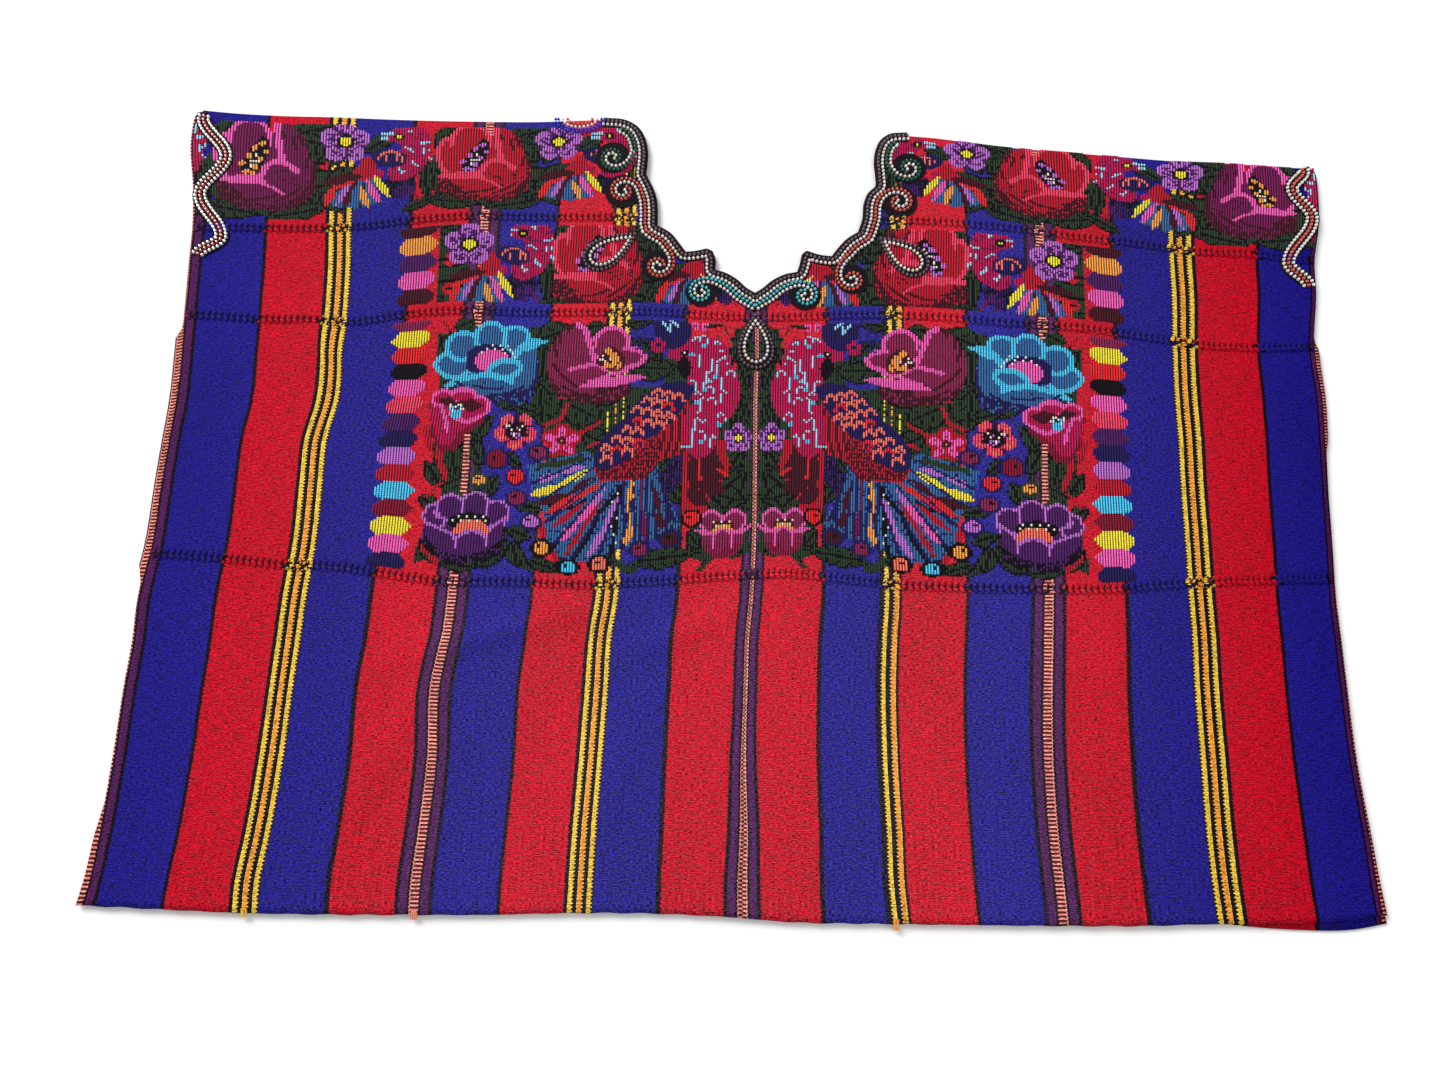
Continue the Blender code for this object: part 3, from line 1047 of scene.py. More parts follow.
def grid_mesh(name: str, columns: int, rows: int, keep: np.ndarray | None = None) -> tuple:
    """A grid mesh, with the column and row of each vertex.

    Args:
        name: The mesh's name.
        columns: Faces across.
        rows: Faces up.
        keep: Which faces stay, by row and column, or None for all.

    Returns:
        The mesh, and each vertex's column and row.
    """
    bm = bmesh.new()
    bmesh.ops.create_grid(bm, x_segments=columns, y_segments=rows, size=1)
    if keep is not None:
        doomed = []
        for face in bm.faces:
            centre = face.calc_center_median()
            i = int((centre.x + 1) / 2 * columns)
            j = int((centre.y + 1) / 2 * rows)
            if not keep[j, i]:
                doomed.append(face)
        bmesh.ops.delete(bm, geom=doomed, context="FACES")
    mesh = bpy.data.meshes.new(name)
    bm.to_mesh(mesh)
    bm.free()
    co = np.empty(len(mesh.vertices) * 3)
    mesh.vertices.foreach_get("co", co)
    co = co.reshape(-1, 3)
    i = np.rint((co[:, 0] + 1) / 2 * columns).astype(int)
    j = np.rint((co[:, 1] + 1) / 2 * rows).astype(int)
    return mesh, i, j


def put(mesh: bpy.types.Mesh, points: np.ndarray) -> None:
    """Set a mesh's vertices."""
    mesh.vertices.foreach_set("co", np.ascontiguousarray(points, dtype=float).ravel())
    mesh.update()


def map_woven(mesh: bpy.types.Mesh, u: np.ndarray, v: np.ndarray) -> None:
    """Give a mesh its woven coordinates, in metres, from each vertex's millimetres.

    Args:
        mesh: The mesh.
        u: Woven millimetres from the centre seam.
        v: Woven millimetres from the hem.
    """
    corner = np.empty(len(mesh.loops), dtype=int)
    mesh.loops.foreach_get("vertex_index", corner)
    layer = mesh.uv_layers.new(name="woven")
    layer.data.foreach_set("uv", (np.stack([u[corner], v[corner]], axis=1) * MM).ravel())


def face_up(mesh: bpy.types.Mesh) -> None:
    """Turn a flat open mesh's faces up.

    Args:
        mesh: The mesh.
    """
    bm = bmesh.new()
    bm.from_mesh(mesh)
    bm.normal_update()
    if sum(face.normal.z for face in bm.faces) < 0:
        bmesh.ops.reverse_faces(bm, faces=bm.faces)
    bm.to_mesh(mesh)
    bm.free()


def piece(name: str, mesh: bpy.types.Mesh, material: bpy.types.Material,
          replaces: Sequence[str] = (), rounded_off: bool = True) -> bpy.types.Object:
    """Put a finished mesh in the scene, riding on the blouse.

    Args:
        name: The piece's name.
        mesh: The mesh.
        material: Its finish.
        replaces: The CAD nodes that it stands for.
        rounded_off: Whether it is shaded smooth.

    Returns:
        The piece's object.
    """
    mesh.materials.clear()
    mesh.materials.append(material)
    if rounded_off:
        mesh.shade_smooth()
    thing = bpy.data.objects.new(name, mesh)
    bpy.context.scene.collection.objects.link(thing)
    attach(thing, BODY)
    if replaces:
        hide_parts(*replaces)
    LOG.info("%s: %d faces", name, len(mesh.polygons))
    return thing


class Lienzo:
    """One woven length: front, shoulder fold and back in one piece of cloth."""

    FINE = 5.0
    COARSE = 12.0
    BEND_STEPS = 6
    BEND_START = 622.0
    BEND_RADIUS = TOP / 2
    SHELL = 1.1

    def __init__(self, side: Side, material: bpy.types.Material) -> None:
        """Keep the side and its finish."""
        self.side = side
        self.material = material

    def rows(self) -> list[tuple[str, float]]:
        """Each row's leaf and its v, or its turn in degrees at the shoulder.

        Returns:
            The rows, from the front hem around to the back hem.
        """
        front = [("front", v) for v in np.linspace(0, self.BEND_START, round(self.BEND_START / self.FINE))]
        bend = [("bend", turn) for turn in np.linspace(90, -90, self.BEND_STEPS + 1)]
        back = [("back", v) for v in np.linspace(self.BEND_START, 0, round(self.BEND_START / self.COARSE))]
        return front + bend + back

    def row_points(self, leaf: str, value: float, share: np.ndarray) -> tuple:
        """One row's plan points, heights and woven coordinates.

        Args:
            leaf: Front, bend or back.
            value: The row's v, or its turn in degrees.
            share: Shares of the width.

        Returns:
            Plan x and y, height, and woven u and v.
        """
        v = SHOULDER if leaf == "bend" else value
        u = share * 441.0
        for _ in range(3):
            x, y = PLAN.place(self.side, u, np.full_like(u, v))
            u = share * PLAN.edge_u(self.side, y, back=leaf == "back")
        x, y = PLAN.place(self.side, u, np.full_like(u, v))
        if leaf == "bend":
            turn = math.radians(value)
            y = PLAN.shoulder_y(x) - self.BEND_RADIUS * (1 - math.cos(turn))
            z = np.full_like(x, self.BEND_RADIUS * (1 + math.sin(turn)))
            return x, y, z, u, np.full_like(u, SHOULDER + self.BEND_RADIUS * math.radians(90 - value))
        if leaf == "back":
            drop = smooth([-456, 300, 360, 400, 425, 456], [1, 1, -4, -6, -5, -4], x)
            y = y + drop * np.clip(1 - v / 90, 0, 1)
            return x, y, np.zeros_like(x), u, 2 * SHOULDER + 6 - np.full_like(u, v)
        ragged = 0.35 * np.sin(u * 1.9) * np.sin(u * 0.37) * (v < 1)
        return x, y + ragged, PLAN.top(self.side, x, y), u, np.full_like(u, v)

    def build(self) -> bpy.types.Object:
        """Weave the length, cut its neck and give it its thickness.

        Returns:
            The cloth's object.
        """
        rows = self.rows()
        columns = round(441 / self.FINE)
        share = np.linspace(0, 1, columns + 1)
        table = [self.row_points(leaf, value, share) for leaf, value in rows]
        x, y, z, u, v = (np.array([row[k] for row in table]) for k in range(5))
        centres = np.stack([(a[:-1, :-1] + a[1:, 1:] + a[:-1, 1:] + a[1:, :-1]).ravel() / 4 for a in (x, y)],
                           axis=1)
        keep = ~inside(centres, opening_polygon()).reshape(len(rows) - 1, columns)
        mesh, i, j = grid_mesh(f"lienzo_{self.side.word}_cloth", columns, len(rows) - 1, keep)
        x, y, z, u, v = (a[j, i] for a in (x, y, z, u, v))
        x, y = self.cut_neck(mesh, x, y)
        put(mesh, to_part(x, y, z))
        map_woven(mesh, u, v)
        bm = bmesh.new()
        bm.from_mesh(mesh)
        bm.normal_update()
        highest = max(bm.faces, key=lambda face: face.calc_center_median().z)
        if highest.normal.z < 0:
            bmesh.ops.reverse_faces(bm, faces=bm.faces)
        bm.to_mesh(mesh)
        bm.free()
        cloth = piece(f"lienzo_{self.side.word}_cloth", mesh, self.material,
                      [f"lienzo_{self.side.word}"])
        wall = cloth.modifiers.new("wall", "SOLIDIFY")
        wall.thickness = self.SHELL * MM
        wall.offset = -1
        return cloth

    def cut_neck(self, mesh: bpy.types.Mesh, x: np.ndarray, y: np.ndarray) -> tuple:
        """Move the loose edge of the cloth at the neck onto the scalloped line.

        Args:
            mesh: The mesh.
            x: Plan millimetres across.
            y: Plan millimetres up.

        Returns:
            The moved x and y.
        """
        bm = bmesh.new()
        bm.from_mesh(mesh)
        rim = {vertex.index for edge in bm.edges if edge.is_boundary for vertex in edge.verts}
        bm.free()
        line = EDGES[self.side].line
        x, y = x.copy(), y.copy()
        for k in rim:
            away = np.hypot(line[:, 0] - x[k], line[:, 1] - y[k])
            nearest = int(np.argmin(away))
            if away[nearest] < 1.3 * self.FINE and not (nearest == 0 and y[k] < line[0][1]):
                x[k], y[k] = line[nearest]
        return x, y


class Yarn(Enum):
    """The brocade's dyes, by their number in the chart."""

    GROUND = (0, (0, 0, 0))
    LEAF = (1, (46, 66, 42))
    BLACK = (2, (12, 10, 14))
    BERRY = (3, (146, 40, 84))
    PINK = (4, (250, 98, 186))
    RED = (5, (196, 28, 48))
    ROSE = (6, (250, 72, 104))
    CORAL = (7, (255, 120, 98))
    SCARLET = (8, (240, 44, 46))
    PURPLE = (9, (84, 32, 104))
    LILAC = (10, (196, 114, 212))
    STEEL = (11, (56, 108, 166))
    SKY = (12, (80, 204, 248))
    NAVY = (13, (36, 28, 92))
    YELLOW = (14, (255, 234, 56))
    ORANGE = (15, (255, 166, 74))
    BROWN = (16, (78, 22, 34))
    CRIMSON = (17, (196, 24, 84))
    ICE = (18, (156, 224, 252))
    PLUM = (19, (120, 26, 84))
    CREAM = (20, (255, 242, 220))
    WINE = (21, (140, 22, 52))

    @property
    def number(self) -> int:
        """The dye's number."""
        return self.value[0]


(GROUND, LEAF, BLACK, BERRY, PINK, RED, ROSE, CORAL, SCARLET, PURPLE, LILAC, STEEL, SKY, NAVY, YELLOW, ORANGE,
 BROWN, CRIMSON, ICE, PLUM, CREAM, WINE) = Yarn


@dataclass(frozen=True)
class Spot:
    """Where a motif lies: its middle, which way it faces, its size and its turn."""

    u: float
    v: float
    facing: int = 1
    scale: float = 1.0
    turn: float = 0.0


class Chart:
    """The half chart of the brocade, mirrored on the two lengths of cloth."""

    RIB = 2.0
    PICK = 1.5
    LOW = 244.0

    def __init__(self) -> None:
        """Lay out the empty cells."""
        self.columns = round(440 / self.RIB)
        self.rows = round((SHOULDER - 5 - self.LOW) / self.PICK)
        self.cells = np.zeros((self.rows, self.columns), int)
        self.u, self.v = np.meshgrid(
            (np.arange(self.columns) + 0.5) * self.RIB, self.LOW + (np.arange(self.rows) + 0.5) * self.PICK)
        self.at = Spot(0, 0)

    def stand(self, spot: Spot = Spot(0, 0)) -> "Chart":
        """Draw the next shapes around a spot, in its own millimetres."""
        self.at = spot
        return self

    def local(self) -> tuple[np.ndarray, np.ndarray]:
        """Every cell's place from the spot.

        Returns:
            x and y of every cell.
        """
        turn = math.radians(self.at.turn)
        du, dv = self.u - self.at.u, self.v - self.at.v
        x = (du * math.cos(turn) + dv * math.sin(turn)) * self.at.facing / self.at.scale
        y = (dv * math.cos(turn) - du * math.sin(turn)) / self.at.scale
        return x, y

    def oval_mask(self, x: float, y: float, rx: float, ry: float, turn: float = 0.0) -> np.ndarray:
        """Cells in an oval.

        Args:
            x: Its middle's place across.
            y: Its middle's place up.
            rx: Half its width.
            ry: Half its height.
            turn: Degrees that it turns.

        Returns:
            True for its cells.
        """
        lx, ly = self.local()
        a = math.radians(turn)
        dx, dy = lx - x, ly - y
        along, aside = dx * math.cos(a) + dy * math.sin(a), dy * math.cos(a) - dx * math.sin(a)
        return (along / rx) ** 2 + (aside / ry) ** 2 <= 1

    def petal_mask(self, x: float, y: float, tip_x: float, tip_y: float, width: float) -> np.ndarray:
        """Cells in a petal, pointed at its base and its tip.

        Args:
            x: The base's place across.
            y: The base's place up.
            tip_x: The tip's place across.
            tip_y: The tip's place up.
            width: Its greatest width.

        Returns:
            True for its cells.
        """
        lx, ly = self.local()
        length = math.hypot(tip_x - x, tip_y - y)
        ax, ay = (tip_x - x) / length, (tip_y - y) / length
        t = ((lx - x) * ax + (ly - y) * ay) / length
        aside = np.abs((ly - y) * ax - (lx - x) * ay)
        swell = np.sin(np.pi * np.clip(t, 0, 1)) ** 0.75
        return (t > 0) & (t < 1) & (aside <= width / 2 * swell)

    def patch_mask(self, points: Sequence[tuple[float, float]]) -> np.ndarray:
        """Cells in a patch with a few corners."""
        lx, ly = self.local()
        return inside(np.stack([lx.ravel(), ly.ravel()], axis=1), np.array(points, float)).reshape(lx.shape)

    def fill(self, mask: np.ndarray, yarn: Yarn) -> None:
        """Dye the cells of a mask."""
        self.cells[mask] = yarn.number

    def oval(self, yarn: Yarn, x: float, y: float, rx: float, ry: float, turn: float = 0.0) -> None:
        """Draw an oval."""
        self.fill(self.oval_mask(x, y, rx, ry, turn), yarn)

    def rimmed(self, rim: Yarn, body: Yarn, x: float, y: float, rx: float, ry: float,
               turn: float = 0.0, edge: float = 3.6) -> None:
        """Draw an oval with a rim of another dye."""
        self.oval(rim, x, y, rx, ry, turn)
        self.oval(body, x, y, rx - edge, ry - edge, turn)

    def petal(self, yarn: Yarn, x: float, y: float, tip_x: float, tip_y: float, width: float) -> None:
        """Draw a petal."""
        self.fill(self.petal_mask(x, y, tip_x, tip_y, width), yarn)

    def patch(self, yarn: Yarn, *points: tuple[float, float]) -> None:
        """Draw a patch with a few corners."""
        self.fill(self.patch_mask(points), yarn)

    def stroke(self, yarn: Yarn, points: Sequence[tuple[float, float]], width: float) -> None:
        """Draw a stem or a line through points.

        Args:
            yarn: The dye.
            points: The points, one row each.
            width: Its width.
        """
        lx, ly = self.local()
        near = np.full(lx.shape, 1e9)
        for (x1, y1), (x2, y2) in zip(points, points[1:]):
            dx, dy = x2 - x1, y2 - y1
            t = np.clip(((lx - x1) * dx + (ly - y1) * dy) / (dx * dx + dy * dy), 0, 1)
            near = np.minimum(near, np.hypot(lx - x1 - t * dx, ly - y1 - t * dy))
        self.fill(near <= width / 2, yarn)

    def speckle(self, mask: np.ndarray, yarn: Yarn, across: int, up: int, shift: int = 1) -> None:
        """Dye single cells of a mask on a slanting lattice.

        Args:
            mask: The cells.
            yarn: The dye.
            across: Cells from one to the next, across.
            up: Cells from one to the next, up.
            shift: Cells that each row moves aside.
        """
        j, i = np.indices(self.cells.shape)
        lattice = (i % across == (j // up * shift) % across) & (j % up == 0)
        self.fill(mask & lattice, yarn)

    def hatch(self, mask: np.ndarray, yarn: Yarn, x: float, y: float, step: float) -> None:
        """Dye broken arcs around a point, where they cross a mask.

        Args:
            mask: The cells.
            yarn: The dye.
            x: The arcs' middle, across.
            y: The arcs' middle, up.
            step: Millimetres between arcs.
        """
        lx, ly = self.local()
        reach = np.hypot(lx - x, ly - y)
        ring = np.floor(reach / step)
        broken = np.sin(6.0 * np.arctan2(ly - y, lx - x) + 2.4 * ring) > -0.35
        self.fill(mask & (np.mod(reach, step) < 0.42 * step) & broken, yarn)

    def shade(self, mask: np.ndarray, yarn: Yarn, share: float) -> None:
        """Dye a scattered share of a mask's cells.

        Args:
            mask: The cells.
            yarn: The dye.
            share: Their share, 0 to 1.
        """
        j, i = np.indices(self.cells.shape)
        scatter = np.mod(np.sin(i * 12.9898 + j * 78.233) * 43758.5453, 1.0)
        self.fill(mask & (scatter < share), yarn)


class Brocade:
    """The brocaded flowers, birds and leaves, drawn from ovals, petals and strokes."""

    TIER_U, TIER_V = -97.0, -95.0
    UPPER_TABS = [BROWN, ORANGE, PURPLE, PINK, BROWN]
    LOWER_TABS = [BERRY, YELLOW, SCARLET, BLACK, PINK, ROSE, PURPLE,
                  NAVY, LILAC, RED, SKY, WINE, YELLOW, PINK, NAVY]
    NECK_CLEAR = 8.0
    BAND_RISE = {Side.LEFT: -2.2, Side.RIGHT: 4.2}

    def __init__(self, material: bpy.types.Material) -> None:
        """Keep the finish and draw the chart.

        Args:
            material: Its finish.
        """
        self.material = material
        self.chart = Chart()
        self.draw()

    def draw(self) -> None:
        """Draw every motif, the lowest layer first."""
        self.shoulder_band()
        self.second_tier()
        self.panel_ground()
        self.panel_leaves()
        self.tabs()
        self.open_tulip(Spot(121, 406))
        self.cup_flower()
        self.fringed_cup()
        self.trumpet()
        self.round_flower(Spot(184, 352))
        self.star_flower(Spot(149, 345))
        self.great_tail()
        self.great_bird()
        self.little_tulip(Spot(24, 273))
        self.purple_flower(Spot(13, 346), 0.62)
        for u, v, rx, ry, dye, ring in (
            (166, 336, 6.5, 4.5, BERRY, NAVY), (197, 330, 8, 6.5, WINE, NAVY),
            (182, 317, 6, 5, SCARLET, NAVY), (209, 314, 4.6, 3.6, ORANGE, LEAF),
            (180, 301, 6, 5, BERRY, NAVY), (168, 284, 5.5, 4.6, LILAC, NAVY),
            (159, 265, 6, 4.8, ORANGE, BLACK), (139, 252, 6, 3.8, SKY, BLACK),
            (117, 254, 6, 4.6, CORAL, BLACK), (87, 263, 6, 4.4, BERRY, NAVY),
            (64, 270, 7, 4.6, BROWN, NAVY), (48, 284, 6, 5, SCARLET, BLACK),
        ):
            self.berry(Spot(u, v), rx, ry, dye, ring)
        self.trim()

    def trim(self) -> None:
        """Leave bare what the twined rows and the seam's ladder cross."""
        c = self.chart.stand()
        for row in (MIDDLE_ROW, HIGH_ROW):
            c.fill(np.abs(c.v - row) < 7.0, GROUND)
        c.fill(c.u < 1.9, GROUND)
        c.fill((c.u > 217) & (c.u < 223) & (c.v > 305) & (c.v < 349), GROUND)
        c.fill((c.u < 3.9) & ((np.sin(c.v * 0.9) + np.sin(c.v * 0.31) > 0.7) | (c.v > 445)), GROUND)
        c.fill(c.u > 436, GROUND)

    def shoulder_band(self) -> None:
        """The band under the shoulder: the same flowers, birds and leaves, repeated."""
        c = self.chart
        for u in (222.0, 385.0, 59.0, 548.0):
            self.garland(Spot(u, 583))
        for u, body, rim, stamen in ((382, PLUM, PINK, ORANGE), (220, RED, ROSE, LILAC)):
            self.tulip(Spot(u, 583), body, rim, BROWN, stamen)
        for u in (457.0, 294.0, 131.0):
            self.small_bird(Spot(u, 590))
            self.purple_flower(Spot(u + 34, 605), 1.0)
        c.stand()

    def second_tier(self) -> None:
        """The tier beside the neck, in step with the band above it."""
        u, v = self.TIER_U, self.TIER_V
        self.garland(Spot(222 + u, 583 + v))
        self.garland(Spot(385 + u, 583 + v), half=True)
        self.tulip(Spot(224 + u, 584 + v), RED, ROSE, BROWN, LILAC)
        self.small_bird(Spot(196, 495))
        self.small_bird(Spot(33, 495))
        self.purple_flower(Spot(231, 504), 1.05)
        c = self.chart.stand()
        c.fill((c.u > 254.5) & (c.v > 450) & (c.v < 534), GROUND)

    def garland(self, spot: Spot, half: bool = False) -> None:
        """The leaves around one tulip of the upper bands.

        Args:
            spot: Where it lies.
            half: Whether only its inner leaves show.
        """
        c = self.chart.stand(spot)
        lx, ly = c.local()
        near = c.oval_mask(-6, -8, 52, 36) & (ly < 22 + 6 * np.sin(lx / 7))
        c.fill(near & (np.sin(lx / 5.5 + 1.2) + np.sin(ly / 4.0 + lx / 17) > -0.5), LEAF)
        c.hatch(near, BLACK, -40, 30, 6.4)
        leaves = [(-12, 24, -50, 36, 19), (-30, 30, -52, 18, 10), (36, 14, 24, 38, 19), (44, -34, 6, -41, 15),
                  (46, 6, 43, -34, 9), (-2, -45, -44, -36, 13), (-34, -36, -56, -8, 12),
                  (-44, -12, -72, -2, 13), (-72, 14, -92, 28, 13), (62, -44, 34, -30, 9),
                  (-46, 2, -58, 16, 9), (52, 18, 58, 36, 10), (-58, -40, -40, -22, 11), (-44, 24, -40, 4, 10)]
        for x, y, tip_x, tip_y, width in leaves[:6] if half else leaves:
            self.leaf(x, y, tip_x, tip_y, width)
        for points in ([(48, -36), (56, -20), (54, -6)], [(-6, 26), (-16, 36), (-22, 30)],
                       [(-60, 12), (-74, 6), (-84, 16)]):
            c.stroke(WINE, points, 2.4)

    def leaf(self, x: float, y: float, tip_x: float, tip_y: float, width: float) -> None:
        """One leaf on a dark edge, with its vein and side veins.

        Args:
            x: The base's place across.
            y: The base's place up.
            tip_x: The tip's place across.
            tip_y: The tip's place up.
            width: Its greatest width.
        """
        c = self.chart
        length = math.hypot(tip_x - x, tip_y - y)
        ax, ay = (tip_x - x) / length, (tip_y - y) / length
        c.fill(c.petal_mask(x - 2 * ax, y - 2 * ay, tip_x + 2 * ax, tip_y + 2 * ay, width + 2.6), BLACK)
        mask = c.petal_mask(x, y, tip_x, tip_y, width)
        c.fill(mask, LEAF)
        lx, ly = c.local()
        along = (lx - x) * ax + (ly - y) * ay
        aside = (ly - y) * ax - (lx - x) * ay
        vein = (np.abs(aside) < 1.0) & (along > 0.1 * length) & (along < 0.9 * length)
        side = (np.mod(along - 0.9 * np.abs(aside), 9.5) < 1.6) & (np.abs(aside) > 2.6)
        c.fill(mask & (vein | side), BLACK)

    def panel_ground(self) -> None:
        """The green that fills the panel between its motifs, with gaps of bare cloth."""
        c = self.chart.stand()
        ripple = 4 * np.sin(c.u / 9.0) + 3 * np.sin(c.u / 4.1 + 1)
        zone = (c.u < 250 + ripple * 0.4) & (c.v < 437 + ripple * 0.5) & (c.v > 251 + ripple)
        c.fill(zone, LEAF)
        c.shade(zone, BLACK, 0.12)
        for line, dye in ((103.4, YELLOW), (109.6, ORANGE), (115.8, YELLOW)):
            c.shade((np.abs(c.u - line) < 1.2) & (c.v > 348) & (c.v < 400), dye, 0.55)
        gaps = ((184, 330, 27, 40), (84, 428, 30, 20), (86, 391, 14, 5), (172, 283, 14, 20),
                (160, 262, 12, 10), (84, 262, 22, 10), (62, 285, 12, 42), (56, 250, 16, 5), (249, 340, 5, 60),
                (252, 292, 10, 30), (218, 328, 5, 26), (240, 305, 4, 12), (184, 440, 18, 5),
                (37, 432, 20, 16), (27, 415, 12, 22), (240, 434, 14, 6), (205, 372, 9, 8), (134, 441, 26, 7),
                (172, 372, 8, 12))
        for u, v, rx, ry in gaps:
            c.oval(GROUND, u, v, rx, ry, 0)
        c.shade(c.oval_mask(37, 428, 20, 18), WINE, 0.25)
        c.shade(c.oval_mask(27, 415, 12, 22), LEAF, 0.3)

    def panel_leaves(self) -> None:
        """The panel's leaves and red stems."""
        c = self.chart.stand()
        for x, y, tip_x, tip_y, width in (
            (148, 434, 172, 424, 22), (168, 420, 166, 392, 12), (240, 430, 222, 439, 9),
            (246, 424, 236, 412, 9), (176, 372, 206, 378, 12), (168, 388, 164, 356, 15),
            (150, 376, 122, 362, 24), (136, 380, 104, 378, 12), (134, 352, 112, 340, 15),
            (168, 366, 188, 372, 9), (100, 402, 66, 400, 20), (76, 408, 92, 424, 12), (104, 436, 84, 440, 11),
            (104, 428, 96, 412, 10), (122, 436, 136, 434, 9), (222, 352, 208, 326, 13),
            (232, 344, 226, 314, 14), (214, 344, 206, 362, 11), (248, 326, 236, 308, 12),
            (250, 300, 238, 292, 11), (246, 268, 232, 252, 11), (232, 254, 206, 250, 9),
            (204, 252, 186, 262, 10), (180, 268, 176, 252, 12), (184, 278, 168, 272, 10),
            (182, 296, 160, 294, 8), (202, 302, 196, 318, 9), (190, 336, 180, 324, 8),
            (168, 256, 148, 250, 9), (156, 318, 168, 316, 8), (92, 254, 46, 258, 14), (70, 318, 58, 296, 12),
            (64, 330, 74, 310, 9), (50, 274, 42, 262, 8), (20, 312, 36, 324, 12), (8, 318, 34, 300, 20),
            (30, 302, 10, 296, 16), (8, 296, 22, 286, 9), (10, 380, 16, 348, 10), (8, 440, 18, 408, 12),
            (14, 408, 7, 386, 9), (8, 372, 12, 356, 8), (10, 336, 22, 318, 9), (40, 310, 46, 292, 8),
            (22, 446, 44, 438, 8), (110, 262, 122, 252, 7),
        ):
            self.leaf(x, y, tip_x, tip_y, width)
        for points, width in (
            ([(146, 436), (142, 430), (146, 422)], 5), ([(146, 374), (150, 362), (162, 357)], 3.2),
            ([(152, 378), (138, 378), (122, 378)], 2.2), ([(134, 352), (126, 356), (121, 360)], 2.6),
            ([(160, 412), (154, 416), (148, 420)], 3), ([(240, 336), (238, 326), (234, 316)], 5),
            ([(246, 300), (240, 308), (236, 311)], 3), ([(244, 262), (238, 258), (234, 253)], 5),
            ([(160, 280), (156, 272), (152, 266), (148, 258)], 5), ([(128, 341), (122, 344)], 3),
            ([(52, 296), (44, 288), (38, 278)], 5), ([(246, 438), (242, 432), (238, 430)], 3.5),
            ([(252, 352), (248, 344), (246, 336)], 5), ([(30, 336), (26, 328), (20, 324)], 2.4),
        ):
            c.stroke(RED, points, width)

    def tabs(self) -> None:
        """The columns of pointed tabs at the panel's sides."""
        c = self.chart.stand()
        slant = (c.u - 270) * 0.07
        for dyes, top, step in ((self.UPPER_TABS, 520.5, 15.1), (self.LOWER_TABS, 438.5, 13.55)):
            for k, dye in enumerate(dyes):
                away = np.abs(c.v + slant - (top - k * step))
                c.fill((away < step / 2) & (np.abs(c.u - 270) < 15.2 - 6.5 * (away / step * 2) ** 1.7), dye)

    def tulip(self, spot: Spot, body: Yarn, rim: Yarn, dark: Yarn, stamen: Yarn) -> None:
        """A tulip seen from its side, its mouth open to one side.

        Args:
            spot: Where it lies.
            body: The petals' dye.
            rim: The rims' dye.
            dark: The heart's dye.
            stamen: The stamens' dye.
        """
        c = self.chart.stand(spot)
        ly = c.local()[1]
        bulb = (c.oval_mask(-8, -9, 27, 29)
                | c.patch_mask([(-30, 4), (-26, 24), (-16, 34), (-5, 42), (2, 20), (0, 0)])
                | c.patch_mask([(-20, -12), (37, -12), (39, -26), (20, -37), (-10, -39)]))
        c.fill(bulb, body)
        c.shade(bulb & ~c.oval_mask(0, -1, 31, 32) & (ly < 26), dark, 0.75)
        c.hatch(bulb & ~c.oval_mask(8, 2, 30, 27), dark, 14, 14, 5.2)
        c.rimmed(rim, body, 29, 7, 10.5, 20, -8, 4)
        c.rimmed(rim, body, 14, 23, 16, 18, 0, 4)
        c.patch(body, (12, 8), (26, 20), (33, 4), (28, -9), (12, -6))
        c.stroke(rim, [(-4, 42), (-5.5, 28), (-8, 12), (-11, 2)], 5)
        c.patch(BLACK, (0, 22), (5, 25), (14, 13), (20, 0), (20, -7), (11, -8), (4, 2), (0, 12))
        c.oval(body, -11, -8, 17, 11.5)
        c.shade(c.oval_mask(-13, -9, 13, 9), dark, 0.15)
        c.stroke(rim, [(-20, -4), (-13, 2.5), (-3, 4), (4, -2), (6, -11)], 4.4)
        c.patch(rim, (4, -9), (14, -7), (38, -10), (36, -14), (16, -15), (2, -16))
        c.stroke(rim, [(-10, -23), (-3, -18), (8, -14)], 2.6)
        for x, y, size in ((5, 19, 2.6), (10, 15, 2.8), (2, 12, 2.4), (14, 8, 2.8), (5.5, 6, 2.4),
                           (19, 2, 2.6), (10, -1, 2.6), (17, -5, 2.6), (12, -6, 2.4)):
            c.oval(stamen, x, y, size, size * 0.85, -30)
        for x, y in ((6, 12), (9, 9), (8, 4), (12, 4), (13, 0), (4, 15)):
            c.oval(CREAM, x, y, 1.1, 0.9)

